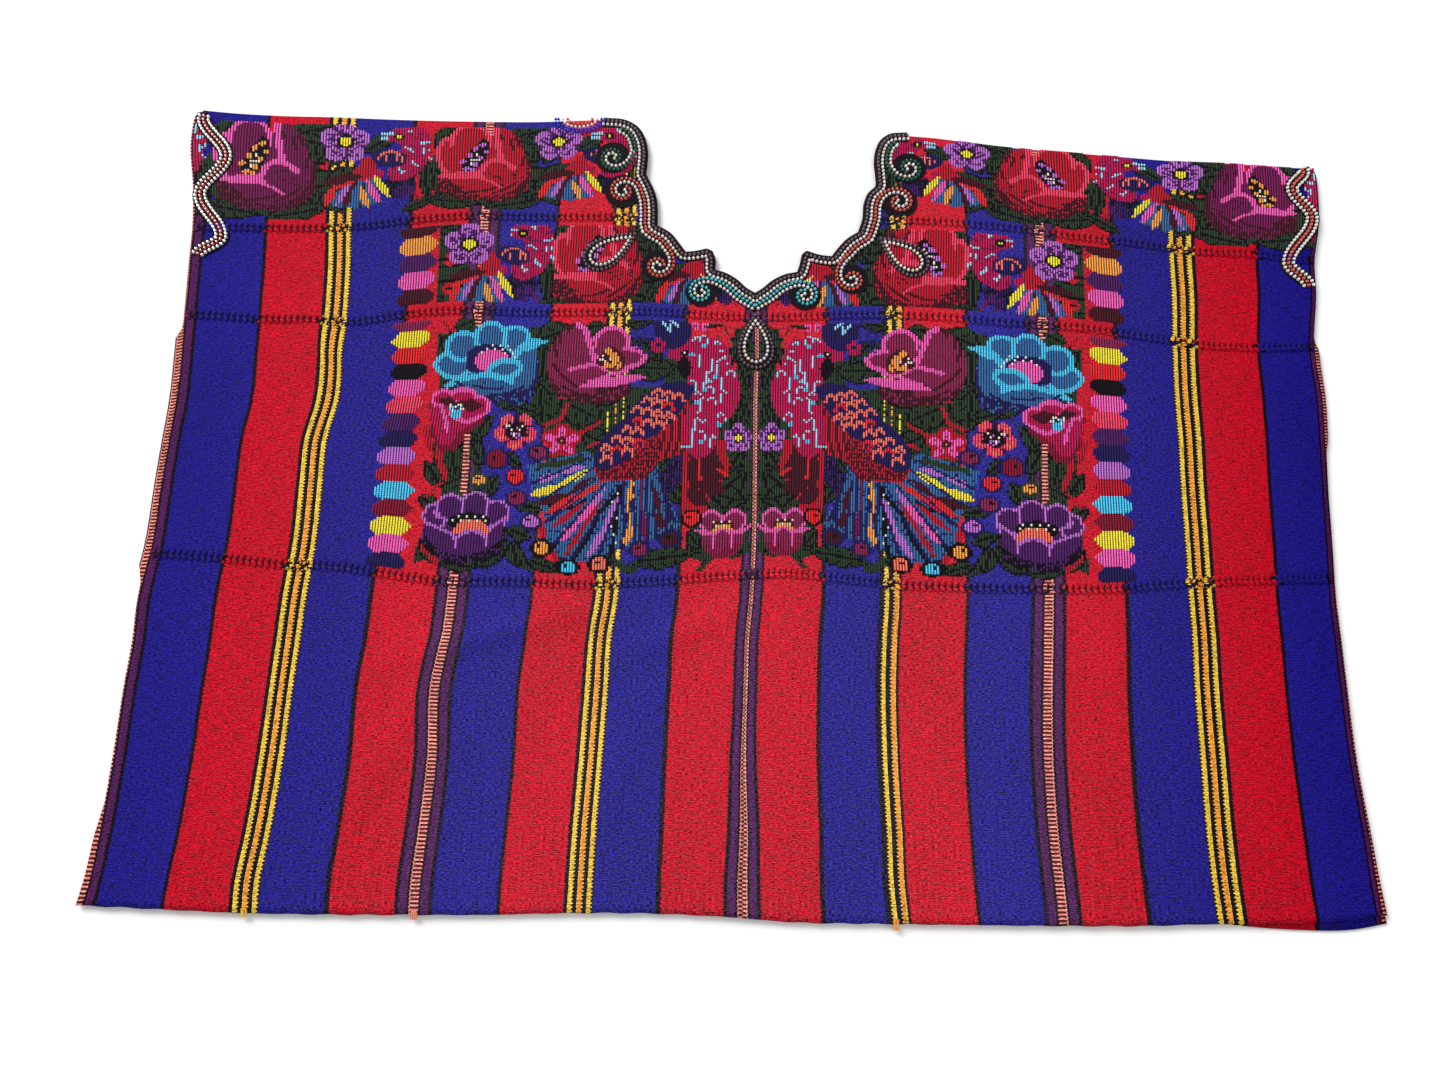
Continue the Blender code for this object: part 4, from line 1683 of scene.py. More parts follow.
    def open_tulip(self, spot: Spot) -> None:
        """The panel's large tulip, open towards the seam.

        Args:
            spot: Where it lies.
        """
        c = self.chart.stand(spot)
        bulb = (c.oval_mask(23, -2, 20, 27, -8) | c.oval_mask(8, -20, 31, 12, 6)
                | c.petal_mask(28, -6, 19, 34, 30))
        c.fill(bulb, BERRY)
        c.shade(bulb & ~c.oval_mask(17, 2, 26, 27), BROWN, 0.7)
        c.hatch(bulb & ~c.oval_mask(8, 8, 27, 24), BROWN, 0, 22, 5.4)
        c.rimmed(PINK, BERRY, -6, 13, 16, 16.5, 0, 4)
        c.patch(BERRY, (-2, 12), (-14, 10), (-30, 7), (-36, 2), (-26, -5), (-8, -9))
        c.stroke(PINK, [(-17, 11), (-27, 9.5), (-34, 4), (-29, -2), (-19, -5)], 4)
        c.patch(BERRY, (4, 0), (6, 12), (12, 26), (21, 31), (26, 8), (16, -4))
        c.stroke(PINK, [(21, 31), (15, 27), (11, 15), (6, 2)], 4.4)
        c.petal(PINK, 18, -19, -36, -12, 7.5)
        c.stroke(PINK, [(10, -15), (-6, -10), (-20, -7.5)], 3)
        c.patch(BERRY, (20, -6), (4, -3), (-8, -7), (2, -12), (18, -16))
        c.stroke(PINK, [(25, -5.5), (14, -2.5), (4, -1.5), (-3, -6)], 3.2)
        c.patch(BROWN, (6, 1), (0, 9), (-4, 13), (-11, 10), (-17, 4), (-16, -4), (-4, -6), (3, -2))
        for x, y in ((-4, 9), (-7.5, 5.5), (-10.5, 2), (-8, -2.5), (-3, -2.5), (-13, -3)):
            c.oval(ORANGE, x, y, 3, 2.2, -35)
        for x, y in ((0, 5), (-3, 4.5), (-2, 1), (-6, 2), (1, 2)):
            c.oval(CREAM, x, y, 1.1, 0.9)

    def small_bird(self, spot: Spot) -> None:
        """A small bird with a fan of many-coloured tail feathers, around its wing.

        Args:
            spot: Where it lies.
        """
        c = self.chart.stand(spot)
        c.oval(NAVY, -7, -25, 13, 12)
        c.shade(c.oval_mask(-7, -26, 12, 12), BLACK, 0.5)
        c.shade(c.oval_mask(-12, -32, 8, 8), PURPLE, 0.5)
        back = c.oval_mask(-17, 6, 13, 25, 8) | c.oval_mask(-8, 20, 13, 9) | c.oval_mask(-8, -12, 10, 9)
        c.fill(back & ~c.oval_mask(-1, 11, 7, 4.5, 20), CRIMSON)
        c.shade(back, PLUM, 0.15)
        for points in ([(-12, 26), (-15, 25)], [(-22, 24), (-22, 18)], [(-23, 14), (-26, 14), (-29, 15)],
                       [(-10, 10), (-14, 9), (-18, 5)], [(-25, 8), (-26, 3)], [(-28, 0), (-31, -2)],
                       [(-16, -2), (-18, -6), (-21, -8)], [(-7, -9), (-9, -13), (-12, -12)],
                       [(-28, 6), (-30, 8)]):
            c.stroke(ICE, points, 1.7)
        c.oval(BLACK, -6, 20, 3.8, 3.4)
        c.oval(YELLOW, -6, 20, 1.4, 1.2)
        c.stroke(ICE, [(-1, 23), (8, 23)], 1.8)
        c.stroke(ICE, [(2, 18.5), (8, 18.5)], 1.8)
        c.patch(RED, (17, 4), (11, -4), (8, -14), (12, -20), (33, -20), (27, -10), (20, 0))
        c.petal(CRIMSON, 6, -8, 12, -20, 9)
        self.small_tail(spot)
        c.oval(NAVY, 1, 1, 14, 8.5, 12)
        for points in ([(9, 0), (7, 4)], [(5, 5), (0, 7), (-5, 5), (-9, 1), (-10, -4)], [(0, 6), (0, -6)],
                       [(4, 3), (3, -2)], [(-4, 4), (-5, -2)]):
            c.stroke(CORAL, points, 1.9)

    def small_tail(self, spot: Spot) -> None:
        """A small bird's tail feathers.

        Args:
            spot: Where it lies.
        """
        c = self.chart.stand(spot)
        c.patch(STEEL, (12, -18), (30, -19), (46, -36), (40, -42), (22, -44), (4, -40))
        c.petal(BROWN, 20, -15, 50, -20, 9)
        c.petal(BROWN, 24, -18, 34, -44, 7)
        c.petal(BROWN, 18, -18, 21, -44, 3.5)
        c.petal(STEEL, 24, -22, 25, -46, 8)
        c.stroke(SCARLET, [(28, -20), (42, -26)], 3.2)
        c.petal(SCARLET, 40, -22, 48, -42, 7)
        c.petal(LILAC, 30, -21, 39, -41, 4.6)
        c.petal(ORANGE, 22, -23, 15, -44, 6)
        c.petal(PINK, 17, -18, 6, -41, 6)
        c.petal(YELLOW, 12, -14, -1, -36, 6.5)

    def purple_flower(self, spot: Spot, size: float) -> None:
        """A small flower of five lilac petals with a yellow eye.

        Args:
            spot: Where it lies.
            size: Its size.
        """
        c = self.chart.stand(Spot(spot.u, spot.v, 1, size))
        c.oval(PURPLE, 0, 0, 16, 16)
        for k in range(5):
            turn = math.radians(90 + 72 * k)
            x, y = 12 * math.cos(turn), 12 * math.sin(turn)
            lobe = c.oval_mask(x, y, 7.2, 7.2)
            c.fill(lobe, LILAC)
            c.shade(c.oval_mask(x * 0.85, y * 0.85, 4.6, 5.4), PURPLE, 0.45)
            c.stroke(PURPLE, [(0, 0), (15 * math.cos(turn + 0.63), 15 * math.sin(turn + 0.63))], 2.6)
        c.oval(BLACK, 0, 0, 6.2, 6.2)
        c.oval(YELLOW, 0, 0, 4.3, 4.3)

    def round_flower(self, spot: Spot) -> None:
        """A coral flower of five round petals with a dark speckled eye.

        Args:
            spot: Where it lies.
        """
        c = self.chart.stand(spot)
        for k in range(5):
            turn = math.radians(126 + 72 * k)
            x, y = 10 * math.cos(turn), 8.8 * math.sin(turn)
            c.oval(ROSE, x, y, 6.9, 5.9)
            c.shade(c.oval_mask(x * 1.15, y * 1.15, 4.6, 4.2), CORAL, 0.45)
            c.stroke(NAVY, [(0, 0), (15 * math.cos(turn + 0.63), 15 * math.sin(turn + 0.63))], 2.2)
        c.oval(BLACK, 0, 0, 9, 7)
        c.shade(c.oval_mask(0, 0, 10.5, 8.5), BROWN, 0.3)
        c.shade(c.oval_mask(0, 0, 9, 7.5), LILAC, 0.14)
        for x, y in ((-3, 1), (1, -3), (3, 1), (-6, -3), (6, 4), (-5, 4)):
            c.oval(CREAM, x, y, 1.1, 0.9)

    def star_flower(self, spot: Spot) -> None:
        """A red flower with a pink star and a small eye.

        Args:
            spot: Where it lies.
        """
        c = self.chart.stand(spot)
        for k in range(5):
            turn = math.radians(90 + 72 * k)
            c.oval(RED, 8 * math.cos(turn), 7.5 * math.sin(turn), 7, 6)
        for k in range(5):
            turn = math.radians(90 + 72 * k)
            c.petal(PINK, 0, 0, 14.5 * math.cos(turn), 12 * math.sin(turn), 6)
        c.shade(c.oval_mask(0, 0, 9, 8), RED, 0.25)
        c.oval(BROWN, 0.5, 0.5, 3.4, 3)
        c.oval(CORAL, 0.5, 0.5, 1.3, 1.1)

    def cup_flower(self) -> None:
        """A large open flower in blues with a pink heart."""
        c = self.chart.stand()
        cup = c.oval_mask(205, 390, 31, 17, -3) | c.oval_mask(184, 396, 14, 25, 8)
        c.fill(cup, STEEL)
        c.shade(cup & ~c.oval_mask(204, 398, 30, 19, -3), NAVY, 0.8)
        c.hatch(cup & (c.v < 392), NAVY, 205, 420, 5)
        c.rimmed(SKY, STEEL, 236, 402, 15.5, 11.5, 10, 4)
        c.rimmed(SKY, STEEL, 230, 417, 14, 13, 0, 4)
        c.rimmed(SKY, STEEL, 190, 424, 13, 12.5, 0, 4)
        c.rimmed(SKY, STEEL, 209, 425, 13.5, 14, 0, 4.2)
        c.patch(SKY, (198, 404), (186, 421), (176, 426), (163, 423), (174, 418), (180, 408), (186, 398))
        c.patch(STEEL, (192, 402), (184, 414), (172, 418), (171, 396), (178, 384), (194, 388))
        c.oval(NAVY, 209, 409, 18, 10.5)
        c.patch(NAVY, (226, 406), (226, 398), (212, 395), (206, 404))
        c.oval(PINK, 206, 406, 13.5, 9.5)
        c.speckle(c.oval_mask(202, 413, 16, 7) & ~c.oval_mask(206, 406, 13, 9), CREAM, 3, 2)
        c.rimmed(SKY, STEEL, 196, 400, 14, 9, -14, 4.2)
        c.stroke(SKY, [(239, 386), (229, 391), (213, 394.5), (198, 394), (190, 390)], 4.4)
        c.patch(STEEL, (231, 388), (214, 391), (196, 390), (184, 384), (196, 378), (220, 379))
        c.hatch(cup & (c.v < 389), NAVY, 205, 420, 5)

    def fringed_cup(self) -> None:
        """A purple flower with lilac edges."""
        c = self.chart.stand()
        cup = c.oval_mask(216, 271, 31, 18)
        c.fill(cup, PURPLE)
        c.shade(cup & ~c.oval_mask(216, 276, 28, 17), BLACK, 0.7)
        for x, y, rx, ry in ((238, 286, 9.5, 10), (194, 289, 11, 11), (228, 293, 10.5, 10.5),
                             (210, 294, 11, 12)):
            c.rimmed(LILAC, PURPLE, x, y, rx, ry, 0, 2.3)
        c.oval(BLACK, 213, 283, 15, 7)
        c.patch(PURPLE, (246, 280), (232, 278), (222, 270), (230, 262), (244, 272))
        c.patch(PURPLE, (188, 288), (194, 281), (200, 274), (200, 262), (188, 270))
        c.stroke(LILAC, [(246, 281), (238, 279), (230, 276), (223, 273), (220, 264)], 2.3)
        c.stroke(LILAC, [(184, 289), (190, 284), (196, 279), (200, 272), (200, 265)], 2.3)
        band = c.oval_mask(211, 276, 12.5, 9)
        c.fill(band & (c.v > 274), CORAL)
        c.oval(LILAC, 210, 270, 11.5, 7)
        c.oval(PURPLE, 210, 267.5, 10.5, 7.5)
        c.speckle(c.oval_mask(212, 285, 16, 4), CREAM, 3, 2)
        c.stroke(LILAC, [(240, 290), (236, 284)], 1.7)

    def trumpet(self) -> None:
        """A pink trumpet flower with a waved rim and a pale blue heart."""
        c = self.chart.stand()
        c.patch(WINE, (252, 372), (247, 348), (238, 334), (228, 336), (216, 352), (207, 360), (240, 380))
        c.patch(CRIMSON, (251, 374), (246, 354), (240, 340), (232, 340), (226, 350), (213, 360), (236, 380))
        for x, y, rx, ry in ((241, 375, 10, 8), (226, 378, 11, 7), (214, 370, 10, 9), (222, 363, 11, 6),
                             (240, 368, 8, 8)):
            c.oval(PINK, x, y, rx, ry)
        for x, y, rx, ry in ((241, 375, 7, 5), (226, 377, 8, 4), (214, 370, 7, 6), (222, 364, 8, 4),
                             (241, 366, 6, 6)):
            c.oval(CRIMSON, x, y, rx, ry)
        c.patch(CRIMSON, (244, 366), (250, 372), (249, 360), (242, 348))
        c.stroke(PINK, [(242, 370), (237, 359), (235, 350)], 3.2)
        c.patch(BROWN, (246, 375), (236, 377), (230, 373), (220, 376), (209, 371), (219, 365), (229, 369),
                (238, 370))
        c.patch(SKY, (235.5, 370), (226, 370), (225, 363), (231, 359), (234, 361))
        c.oval(NAVY, 230, 369, 2.6, 2.2)
        for x, y in ((230, 373), (235, 370), (226, 368), (231, 369), (233, 366), (228, 371)):
            c.oval(CREAM, x, y, 1.1, 0.9)

    def little_tulip(self, spot: Spot) -> None:
        """A little upright tulip beside the centre seam.

        Args:
            spot: Where it lies.
        """
        c = self.chart.stand(spot)
        c.oval(BERRY, 0, -5, 16, 15)
        c.shade(c.oval_mask(0, -9, 15, 11) & (c.local()[1] < -10), WINE, 0.6)
        for x in (-9, 9):
            c.rimmed(PINK, BERRY, x, 8, 9, 9.5, 0, 2.4)
        c.stroke(PINK, [(-12, -2), (-18, 2), (-21, 4)], 2.2)
        c.stroke(PINK, [(12, -2), (18, 2), (21, 2)], 2.2)
        c.oval(BROWN, 0, 5, 9, 4)
        c.patch(ORANGE, (-9, 1), (-5, 5), (0, 6), (6, 4), (10, -1), (0, 1))
        c.oval(PINK, 0, -2, 8, 4.5)
        c.oval(BERRY, 0, -6, 6, 6.5)
        c.speckle(c.oval_mask(0, 7, 9, 3), CREAM, 3, 2)
        for x in (-8, 8):
            c.stroke(PINK, [(x, -1), (x * 0.85, -12)], 1.7)

    def berry(self, spot: Spot, rx: float, ry: float, dye: Yarn, ring: Yarn) -> None:
        """A berry in its ring, with a dark eye.

        Args:
            spot: Where it lies.
            rx: Half its width.
            ry: Half its height.
            dye: Its dye.
            ring: The ring's dye.
        """
        c = self.chart.stand(spot)
        c.oval(ring, 0, 0, rx + 2.6, ry + 2.2)
        c.oval(dye, 0, 0, rx, ry)
        c.oval(BLACK, 1.6, 1.2, 1.7, 1.3)

    def great_bird(self) -> None:
        """One of the pair of large birds that face each other across the seam."""
        c = self.chart.stand()
        self.great_feet()
        rump = c.patch_mask([(52, 388), (50, 330), (62, 333), (75, 327), (84, 315), (98, 314), (120, 315),
                             (124, 324), (80, 350)])
        c.fill(rump, RED)
        c.shade(rump & (c.u > 74), BROWN, 0.4)
        c.speckle(rump & (c.u > 74), BROWN, 2, 2)
        stripes = rump & (c.u <= 74) & (np.mod(c.u + 3 * np.sin(c.v / 9), 6) < 2.2)
        c.fill(stripes, BROWN)
        body = (c.oval_mask(31, 384, 19, 27) | c.oval_mask(38, 403, 17, 26, 12)
                | c.oval_mask(42, 354, 14.5, 24, 6) | c.oval_mask(46, 416, 11, 13))
        c.fill(body, CRIMSON)
        c.petal(CRIMSON, 50, 424, 70, 410, 17)
        self.feather_marks()
        c.petal(BLACK, 58, 412, 55, 393, 11)
        c.oval(BLACK, 56.5, 414, 3.0, 2.8)
        c.oval(CREAM, 56.5, 414, 1.3, 1.1)
        c.oval(NAVY, 67, 433, 15, 16)
        c.shade(c.oval_mask(84, 425, 16, 14), NAVY, 0.35)
        for points in ([(75, 438), (72, 435), (70, 431)], [(70, 441), (66, 438), (62, 435)],
                       [(69, 436), (68, 430)]):
            c.stroke(ICE, points, 1.9)
        for x, y, dye in ((45, 438, PINK), (78, 419, CRIMSON)):
            for k in range(5):
                turn = math.radians(90 + 72 * k)
                c.oval(dye, x + 4.4 * math.cos(turn), y + 4 * math.sin(turn), 2.6, 2.2)
        self.great_wing()

    def great_feet(self) -> None:
        """The large bird's dark feet and the red ground around them."""
        c = self.chart
        c.fill(c.patch_mask([(56, 345), (22, 345), (20, 318), (34, 300), (38, 286), (56, 290)]), RED)
        for x, y, tip_x, tip_y, width in (
            (38, 352, 34, 298, 16), (48, 340, 46, 296, 9), (30, 330, 26, 312, 9), (46, 312, 22, 304, 12),
            (52, 306, 36, 294, 12),
        ):
            c.petal(BROWN, x, y, tip_x, tip_y, width)
        c.stroke(SCARLET, [(43, 332), (42, 314)], 2.2)
        c.stroke(SCARLET, [(30, 322), (20, 316)], 2.2)
        c.fill(c.petal_mask(58, 336, 66, 304, 13), NAVY)
        c.shade(c.petal_mask(60, 338, 68, 302, 14), BLACK, 0.35)
        c.shade(c.petal_mask(60, 338, 68, 302, 14), PURPLE, 0.2)

    def feather_marks(self) -> None:
        """Small pale crooks, arches and bars scattered over the large bird's body."""
        c = self.chart
        crooks = (
            [(3, 1), (0, 4), (-3, 3), (-4, -1)], [(-3, 2), (0, 4), (2, 1), (2, -5)],
            [(0, 5), (0, -4), (3, -5)], [(3, 4), (-1, 3), (-2, -3)], [(0, 3), (0, -6)],
        )
        for row in range(10):
            y = 424 - 8.6 * row
            for rank in range(4):
                x = 48 - 9.2 * rank - 0.5 * row + 2.6 * math.sin(1.9 * row + rank)
                if x < 18 + abs(row - 4) * 2.4 or x > 50 or (row + 2 * rank) % 7 == 3:
                    continue
                crook = crooks[(2 * row + 3 * rank) % len(crooks)]
                lift = 2.6 * math.sin(2.3 * rank + row)
                c.stroke(ICE, [(x + dx, y + dy + lift) for dx, dy in crook], 1.45)
                if (row + rank) % 4 == 1:
                    c.oval(SKY, x + 1, y + lift - 4.5, 2.4, 1.8)
        c.stroke(ICE, [(49, 352), (49, 339), (58, 339)], 1.9)

    def great_wing(self) -> None:
        """The large bird's folded wing with its rows of scales."""
        c = self.chart
        wing = (c.oval_mask(79, 366, 33, 15, -40) | c.oval_mask(102, 345, 28, 13.5, -43)
                | c.petal_mask(74, 378, 47, 386, 17))
        c.fill(wing, NAVY)
        turn = math.radians(-41)
        for row in range(4):
            for k in range(8):
                along = -31 + 10.4 * k + (5.2 if row % 2 else 0)
                aside = 9.8 - 6.6 * row
                x = 86 + along * math.cos(turn) - aside * math.sin(turn)
                y = 360 + along * math.sin(turn) + aside * math.cos(turn)
                room = c.oval_mask(x, y, 4.2, 4.2)
                if along > 46 or not wing[room].all():
                    continue
                yarn = SCARLET if (2 * row + k) % 5 == 0 else CORAL
                c.stroke(yarn, [(x - 4.2, y - 2.6), (x - 3.4, y + 1.6),
                                (x + 0.6, y + 3), (x + 3.6, y - 0.6)], 2.5)
                if (row + k) % 3 == 1:
                    c.stroke(yarn, [(x, y - 1), (x + 1.4, y - 4.4)], 2.2)

    def great_tail(self) -> None:
        """The large bird's tail, spread below its wing."""
        c = self.chart.stand()
        tail = (c.patch_mask([(174, 328), (169, 307), (160, 299), (126, 314), (122, 326), (128, 338),
                              (150, 332)])
                | c.patch_mask([(163, 299), (158, 284), (155, 270), (148, 262), (141, 255), (120, 257),
                                (104, 262), (100, 322), (130, 322)])
                | c.patch_mask([(106, 262), (85, 268), (66, 271), (56, 280), (62, 292), (70, 306), (77, 332),
                                (106, 330)]))
        c.fill(tail, STEEL)
        c.shade(tail, NAVY, 0.12)
        for x in (99, 91, 81, 66):
            c.fill(tail & (c.u < 104) & (np.abs(c.u - x - (c.v - 270) * 0.05) < 1.0), NAVY)
        for points, width, dye in (
            ([(164, 326), (150, 328), (134, 332)], 4.2, LEAF),
            ([(158, 297), (140, 294), (128, 302)], 2.0, BLACK),
            ([(158, 284), (146, 293), (130, 304)], 2.2, NAVY),
            ([(150, 266), (140, 281), (126, 298)], 2.2, BLACK),
            ([(136, 258), (126, 272), (118, 292), (106, 304)], 3.2, BLACK),
            ([(108, 262), (105, 290), (104, 310)], 3.4, BLACK),
            ([(72, 320), (68, 300), (62, 284)], 3.2, NAVY), ([(116, 262), (112, 276), (106, 296)], 2.0, NAVY),
        ):
            c.stroke(dye, points, width)
        c.speckle(c.oval_mask(107, 285, 4, 24), CREAM, 3, 4)
        for x, y, tip_x, tip_y, width, dye in (
            (128, 327, 152, 320, 5, LILAC), (148, 321, 169, 313, 6, LILAC),
            (125, 324, 150, 311, 6, YELLOW), (146, 312, 171, 303, 7.5, YELLOW),
            (124, 318, 143, 304, 5, BROWN), (140, 306, 164, 297, 7, BROWN),
            (116, 314, 140, 300, 5, SCARLET), (132, 306, 158, 290, 8, SCARLET),
            (128, 300, 154, 279, 5.5, RED), (114, 310, 130, 287, 5, LILAC),
            (122, 299, 134, 284, 9, PINK), (132, 286, 148, 270, 8, PINK),
            (116, 302, 136, 270, 4, RED), (128, 282, 142, 260, 5, RED),
            (104, 304, 116, 276, 5, LILAC), (112, 282, 126, 258, 7, LILAC),
            (94, 316, 97, 290, 6.5, ORANGE), (96, 294, 94, 276, 2.8, ORANGE), (94, 282, 98, 266, 7.5, ORANGE),
            (88, 322, 86, 292, 4.4, PLUM), (87, 296, 82, 268, 6, PLUM),
            (78, 310, 72, 288, 6, BROWN), (74, 292, 70, 276, 7, BROWN),
        ):
            c.petal(dye, x, y, tip_x, tip_y, width * 0.84)
        fan = np.arctan2(c.v - 352, c.u - 84)
        c.fill(tail & (np.sin(40 * fan) > 0.9), NAVY)

    def build(self, side: Side) -> bpy.types.Object:
        """Raise one side's brocade as rounded ribs on the cloth.

        Args:
            side: Which length of cloth.

        Returns:
            The brocade's object.
        """
        chart = self.chart
        u = np.arange(2 * chart.columns + 1) * chart.RIB / 2
        v = chart.LOW + np.arange(chart.rows + 1) * chart.PICK
        grid_u, grid_v = np.meshgrid(u, v)
        rise = self.BAND_RISE[side] * np.clip((grid_v - HIGH_ROW - 8) / 24, 0, 1)
        x, y = PLAN.place(side, grid_u, grid_v + rise)
        ground = PLAN.top(side, x, y)
        cells = chart.cells.copy()
        centres = np.stack([x[:-1, 1::2].ravel(), (y[:-1, 1::2] + chart.PICK / 2).ravel()], axis=1)
        cut = inside(centres, opening_polygon()) | (distance_to(centres, EDGES[side].line) < self.NECK_CLEAR)
        cells[cut.reshape(cells.shape)] = 0
        keep = np.repeat(cells > 0, 2, axis=1)
        mesh, i, j = grid_mesh(f"brocade_{side.word}", keep.shape[1], keep.shape[0], keep)
        padded = np.pad(keep, 1)
        full = padded[:-1, :-1] & padded[1:, :-1] & padded[:-1, 1:] & padded[1:, 1:]
        ridge = (np.arange(len(u)) % 2 == 1)[None, :]
        z = ground + np.where(full, np.where(ridge, 0.8, 0.1), -0.12)
        put(mesh, to_part(x[j, i], y[j, i], z[j, i]))
        face_up(mesh)
        self.dye(mesh, cells, i, j)
        map_woven(mesh, u[i], v[j])
        return piece(f"brocade_{side.word}", mesh, self.material)

    def dye(self, mesh: bpy.types.Mesh, cells: np.ndarray, i: np.ndarray, j: np.ndarray) -> None:
        """Write each face's dye to its corners.

        Args:
            mesh: The mesh.
            cells: The chart's cells.
            i: Each vertex's column.
            j: Each vertex's row.
        """
        palette = np.array([srgb(*yarn.value[1]) for yarn in Yarn])
        corner = np.empty(len(mesh.loops), dtype=int)
        mesh.loops.foreach_get("vertex_index", corner)
        quads = corner.reshape(-1, 4)
        number = cells[j[quads].min(axis=1), i[quads].min(axis=1) // 2]
        layer = mesh.color_attributes.new(name="yarn", type="FLOAT_COLOR", domain="CORNER")
        layer.data.foreach_set("color", np.repeat(palette[number], 4, axis=0).ravel())


class TwinedRow:
    """A raised twined row across the cloth, in slanting pairs of stitches."""

    PITCH = 4.5
    HEIGHT = 7.4
    THICK = 3.5
    SLANT = 36.0

    def __init__(self, cloths: dict[Side, bpy.types.Material], ground: bpy.types.Material) -> None:
        """Keep the finishes of the two lengths and of the dark strip of painted shade."""
        self.cloths = cloths
        self.ground = ground

    def build(self, side: Side, name: str, v: float, low_u: float = 2.0) -> bpy.types.Object:
        """Lay one row of stitches along a side.

        Args:
            side: The side of the blouse.
            name: The piece's name.
            v: The row's woven height.
            low_u: Where the row starts, from the seam.

        Returns:
            The row's object.
        """
        u = np.arange(low_u, 436.0, self.PITCH)
        x, y = PLAN.place(side, u, np.full_like(u, v))
        keep = self.clear_of_neck(side, x, y)
        x, y, u = x[keep], y[keep], u[keep]
        z = PLAN.top(side, x, y)
        run = np.arctan2(np.gradient(y), np.gradient(x))
        bm = bmesh.new()
        for k in range(len(u)):
            turn = run[k] if side is Side.RIGHT else run[k] + math.pi
            for half in (-1, 1):
                middle = Vector(to_part(x[k] - half * math.sin(turn) * self.HEIGHT / 4,
                                        y[k] + half * math.cos(turn) * self.HEIGHT / 4, z[k] + 0.35))
                lean = turn + half * math.radians(90 - self.SLANT)
                shape = Matrix.Translation(middle) @ Matrix.Rotation(lean, 4, "Z") @ Matrix.Diagonal(
                    Vector((self.HEIGHT * 0.41 * MM, self.THICK * 0.54 * MM, 1.0 * MM, 1)))
                bmesh.ops.create_uvsphere(bm, u_segments=6, v_segments=4, radius=1, matrix=shape)
        mesh = bpy.data.meshes.new(name)
        bm.to_mesh(mesh)
        bm.free()
        co = np.empty(len(mesh.vertices) * 3)
        mesh.vertices.foreach_get("co", co)
        co = co.reshape(-1, 3) / MM
        each = len(co) // len(u)
        near_u = np.repeat(u, each) + (co[:, 0] + MIDDLE_X - np.repeat(x, each)) * side.value * 0.3
        near_v = v + (co[:, 1] + MIDDLE_Y - np.repeat(y, each))
        map_woven(mesh, near_u, near_v)
        return piece(name, mesh, self.cloths[side])

    def clear_of_neck(self, side: Side, x: np.ndarray, y: np.ndarray) -> np.ndarray:
        """Which stitches lie on cloth, clear of the neck's border.

        Args:
            side: The side of the blouse.
            x: Plan millimetres across.
            y: Plan millimetres up.

        Returns:
            True for each clear stitch.
        """
        points = np.stack([x, y], axis=1)
        gaps = np.linalg.norm(points[:, None, :] - EDGES[side].line[None, :, :], axis=2).min(axis=1)
        return ~inside(points, opening_polygon()) & (gaps > 10.5)

    def strip(self, side: Side, name: str, v: float) -> bpy.types.Object:
        """The dark strip that a row lies on, showing between its stitches as painted shade.

        Args:
            side: The side of the blouse.
            name: The piece's name.
            v: The row's woven height.

        Returns:
            The strip's object.
        """
        u = np.arange(1.0, 436.0, 3.0)
        across = np.array([-1.0, -0.86, 0.86, 1.0]) * (self.HEIGHT / 2 - 0.7)
        grid_u, grid_a = np.meshgrid(u, across)
        x, y = PLAN.place(side, grid_u, v + grid_a)
        keep = self.clear_of_neck(side, x[1], y[1])
        mesh, i, j = grid_mesh(name, len(u) - 1, 3, np.repeat((keep[:-1] & keep[1:])[None, :], 3, axis=0))
        z = PLAN.top(side, x, y) + np.where(np.abs(grid_a) > self.HEIGHT / 2 - 1, -0.1, 0.3)
        put(mesh, to_part(x[j, i], y[j, i], z[j, i]))
        face_up(mesh)
        return piece(name, mesh, self.ground)


class Bead(Enum):
    """The beads' colours and their gloss."""

    PEARL = ("pearl", (250, 248, 244), 0.1)
    SMOKE = ("smoke", (128, 106, 116), 0.3)
    SALMON = ("salmon", (222, 98, 86), 0.0)
    GREEN = ("green", (46, 104, 84), 0.0)
    TURQUOISE = ("turquoise", (84, 200, 210), 0.0)
    BLUE = ("blue", (36, 56, 200), 0.0)


@dataclass(frozen=True)
class Scroll:
    """A beaded scroll that follows the border and then curls up beside it."""

    side: Side
    number: int
    dye: Bead
    start: int
    end: int
    x: float
    y: float
    radius: float
    turns: float
    depth: float = 10.7
    inner: float = 3.2

    def lead(self) -> np.ndarray:
        """The part of the path that runs along the border.

        Returns:
            The part's points.
        """
        edge = EDGES[self.side]
        a, b = edge.marks[self.start], edge.marks[self.end]
        run = edge.inset(self.depth)[min(a, b):max(a, b) + 1]
        if a == 0:
            run = np.concatenate([edge.below_point(self.depth), run[6:]])
        return run[::-1] if a > b else run

    def path(self) -> np.ndarray:
        """The middle of the double row, from the border into the curl.

        Returns:
            The path's points.
        """
        run = self.lead()
        centre = np.array([self.x, self.y])
        away = run[-1] - centre
        start = math.atan2(away[1], away[0])
        outer = self.radius - BeadWork.ROW_GAP
        t = np.linspace(0, 1, 70)
        reach = outer + (self.inner - outer) * t ** 0.9
        reach = reach + (np.linalg.norm(away) - outer) * np.exp(-9 * t)
        turn = start + 2 * math.pi * self.turns * t
        curl = centre + np.stack([reach * np.cos(turn), reach * np.sin(turn)], axis=1)
        return resample(np.concatenate([run, curl[1:]]), 0.6)


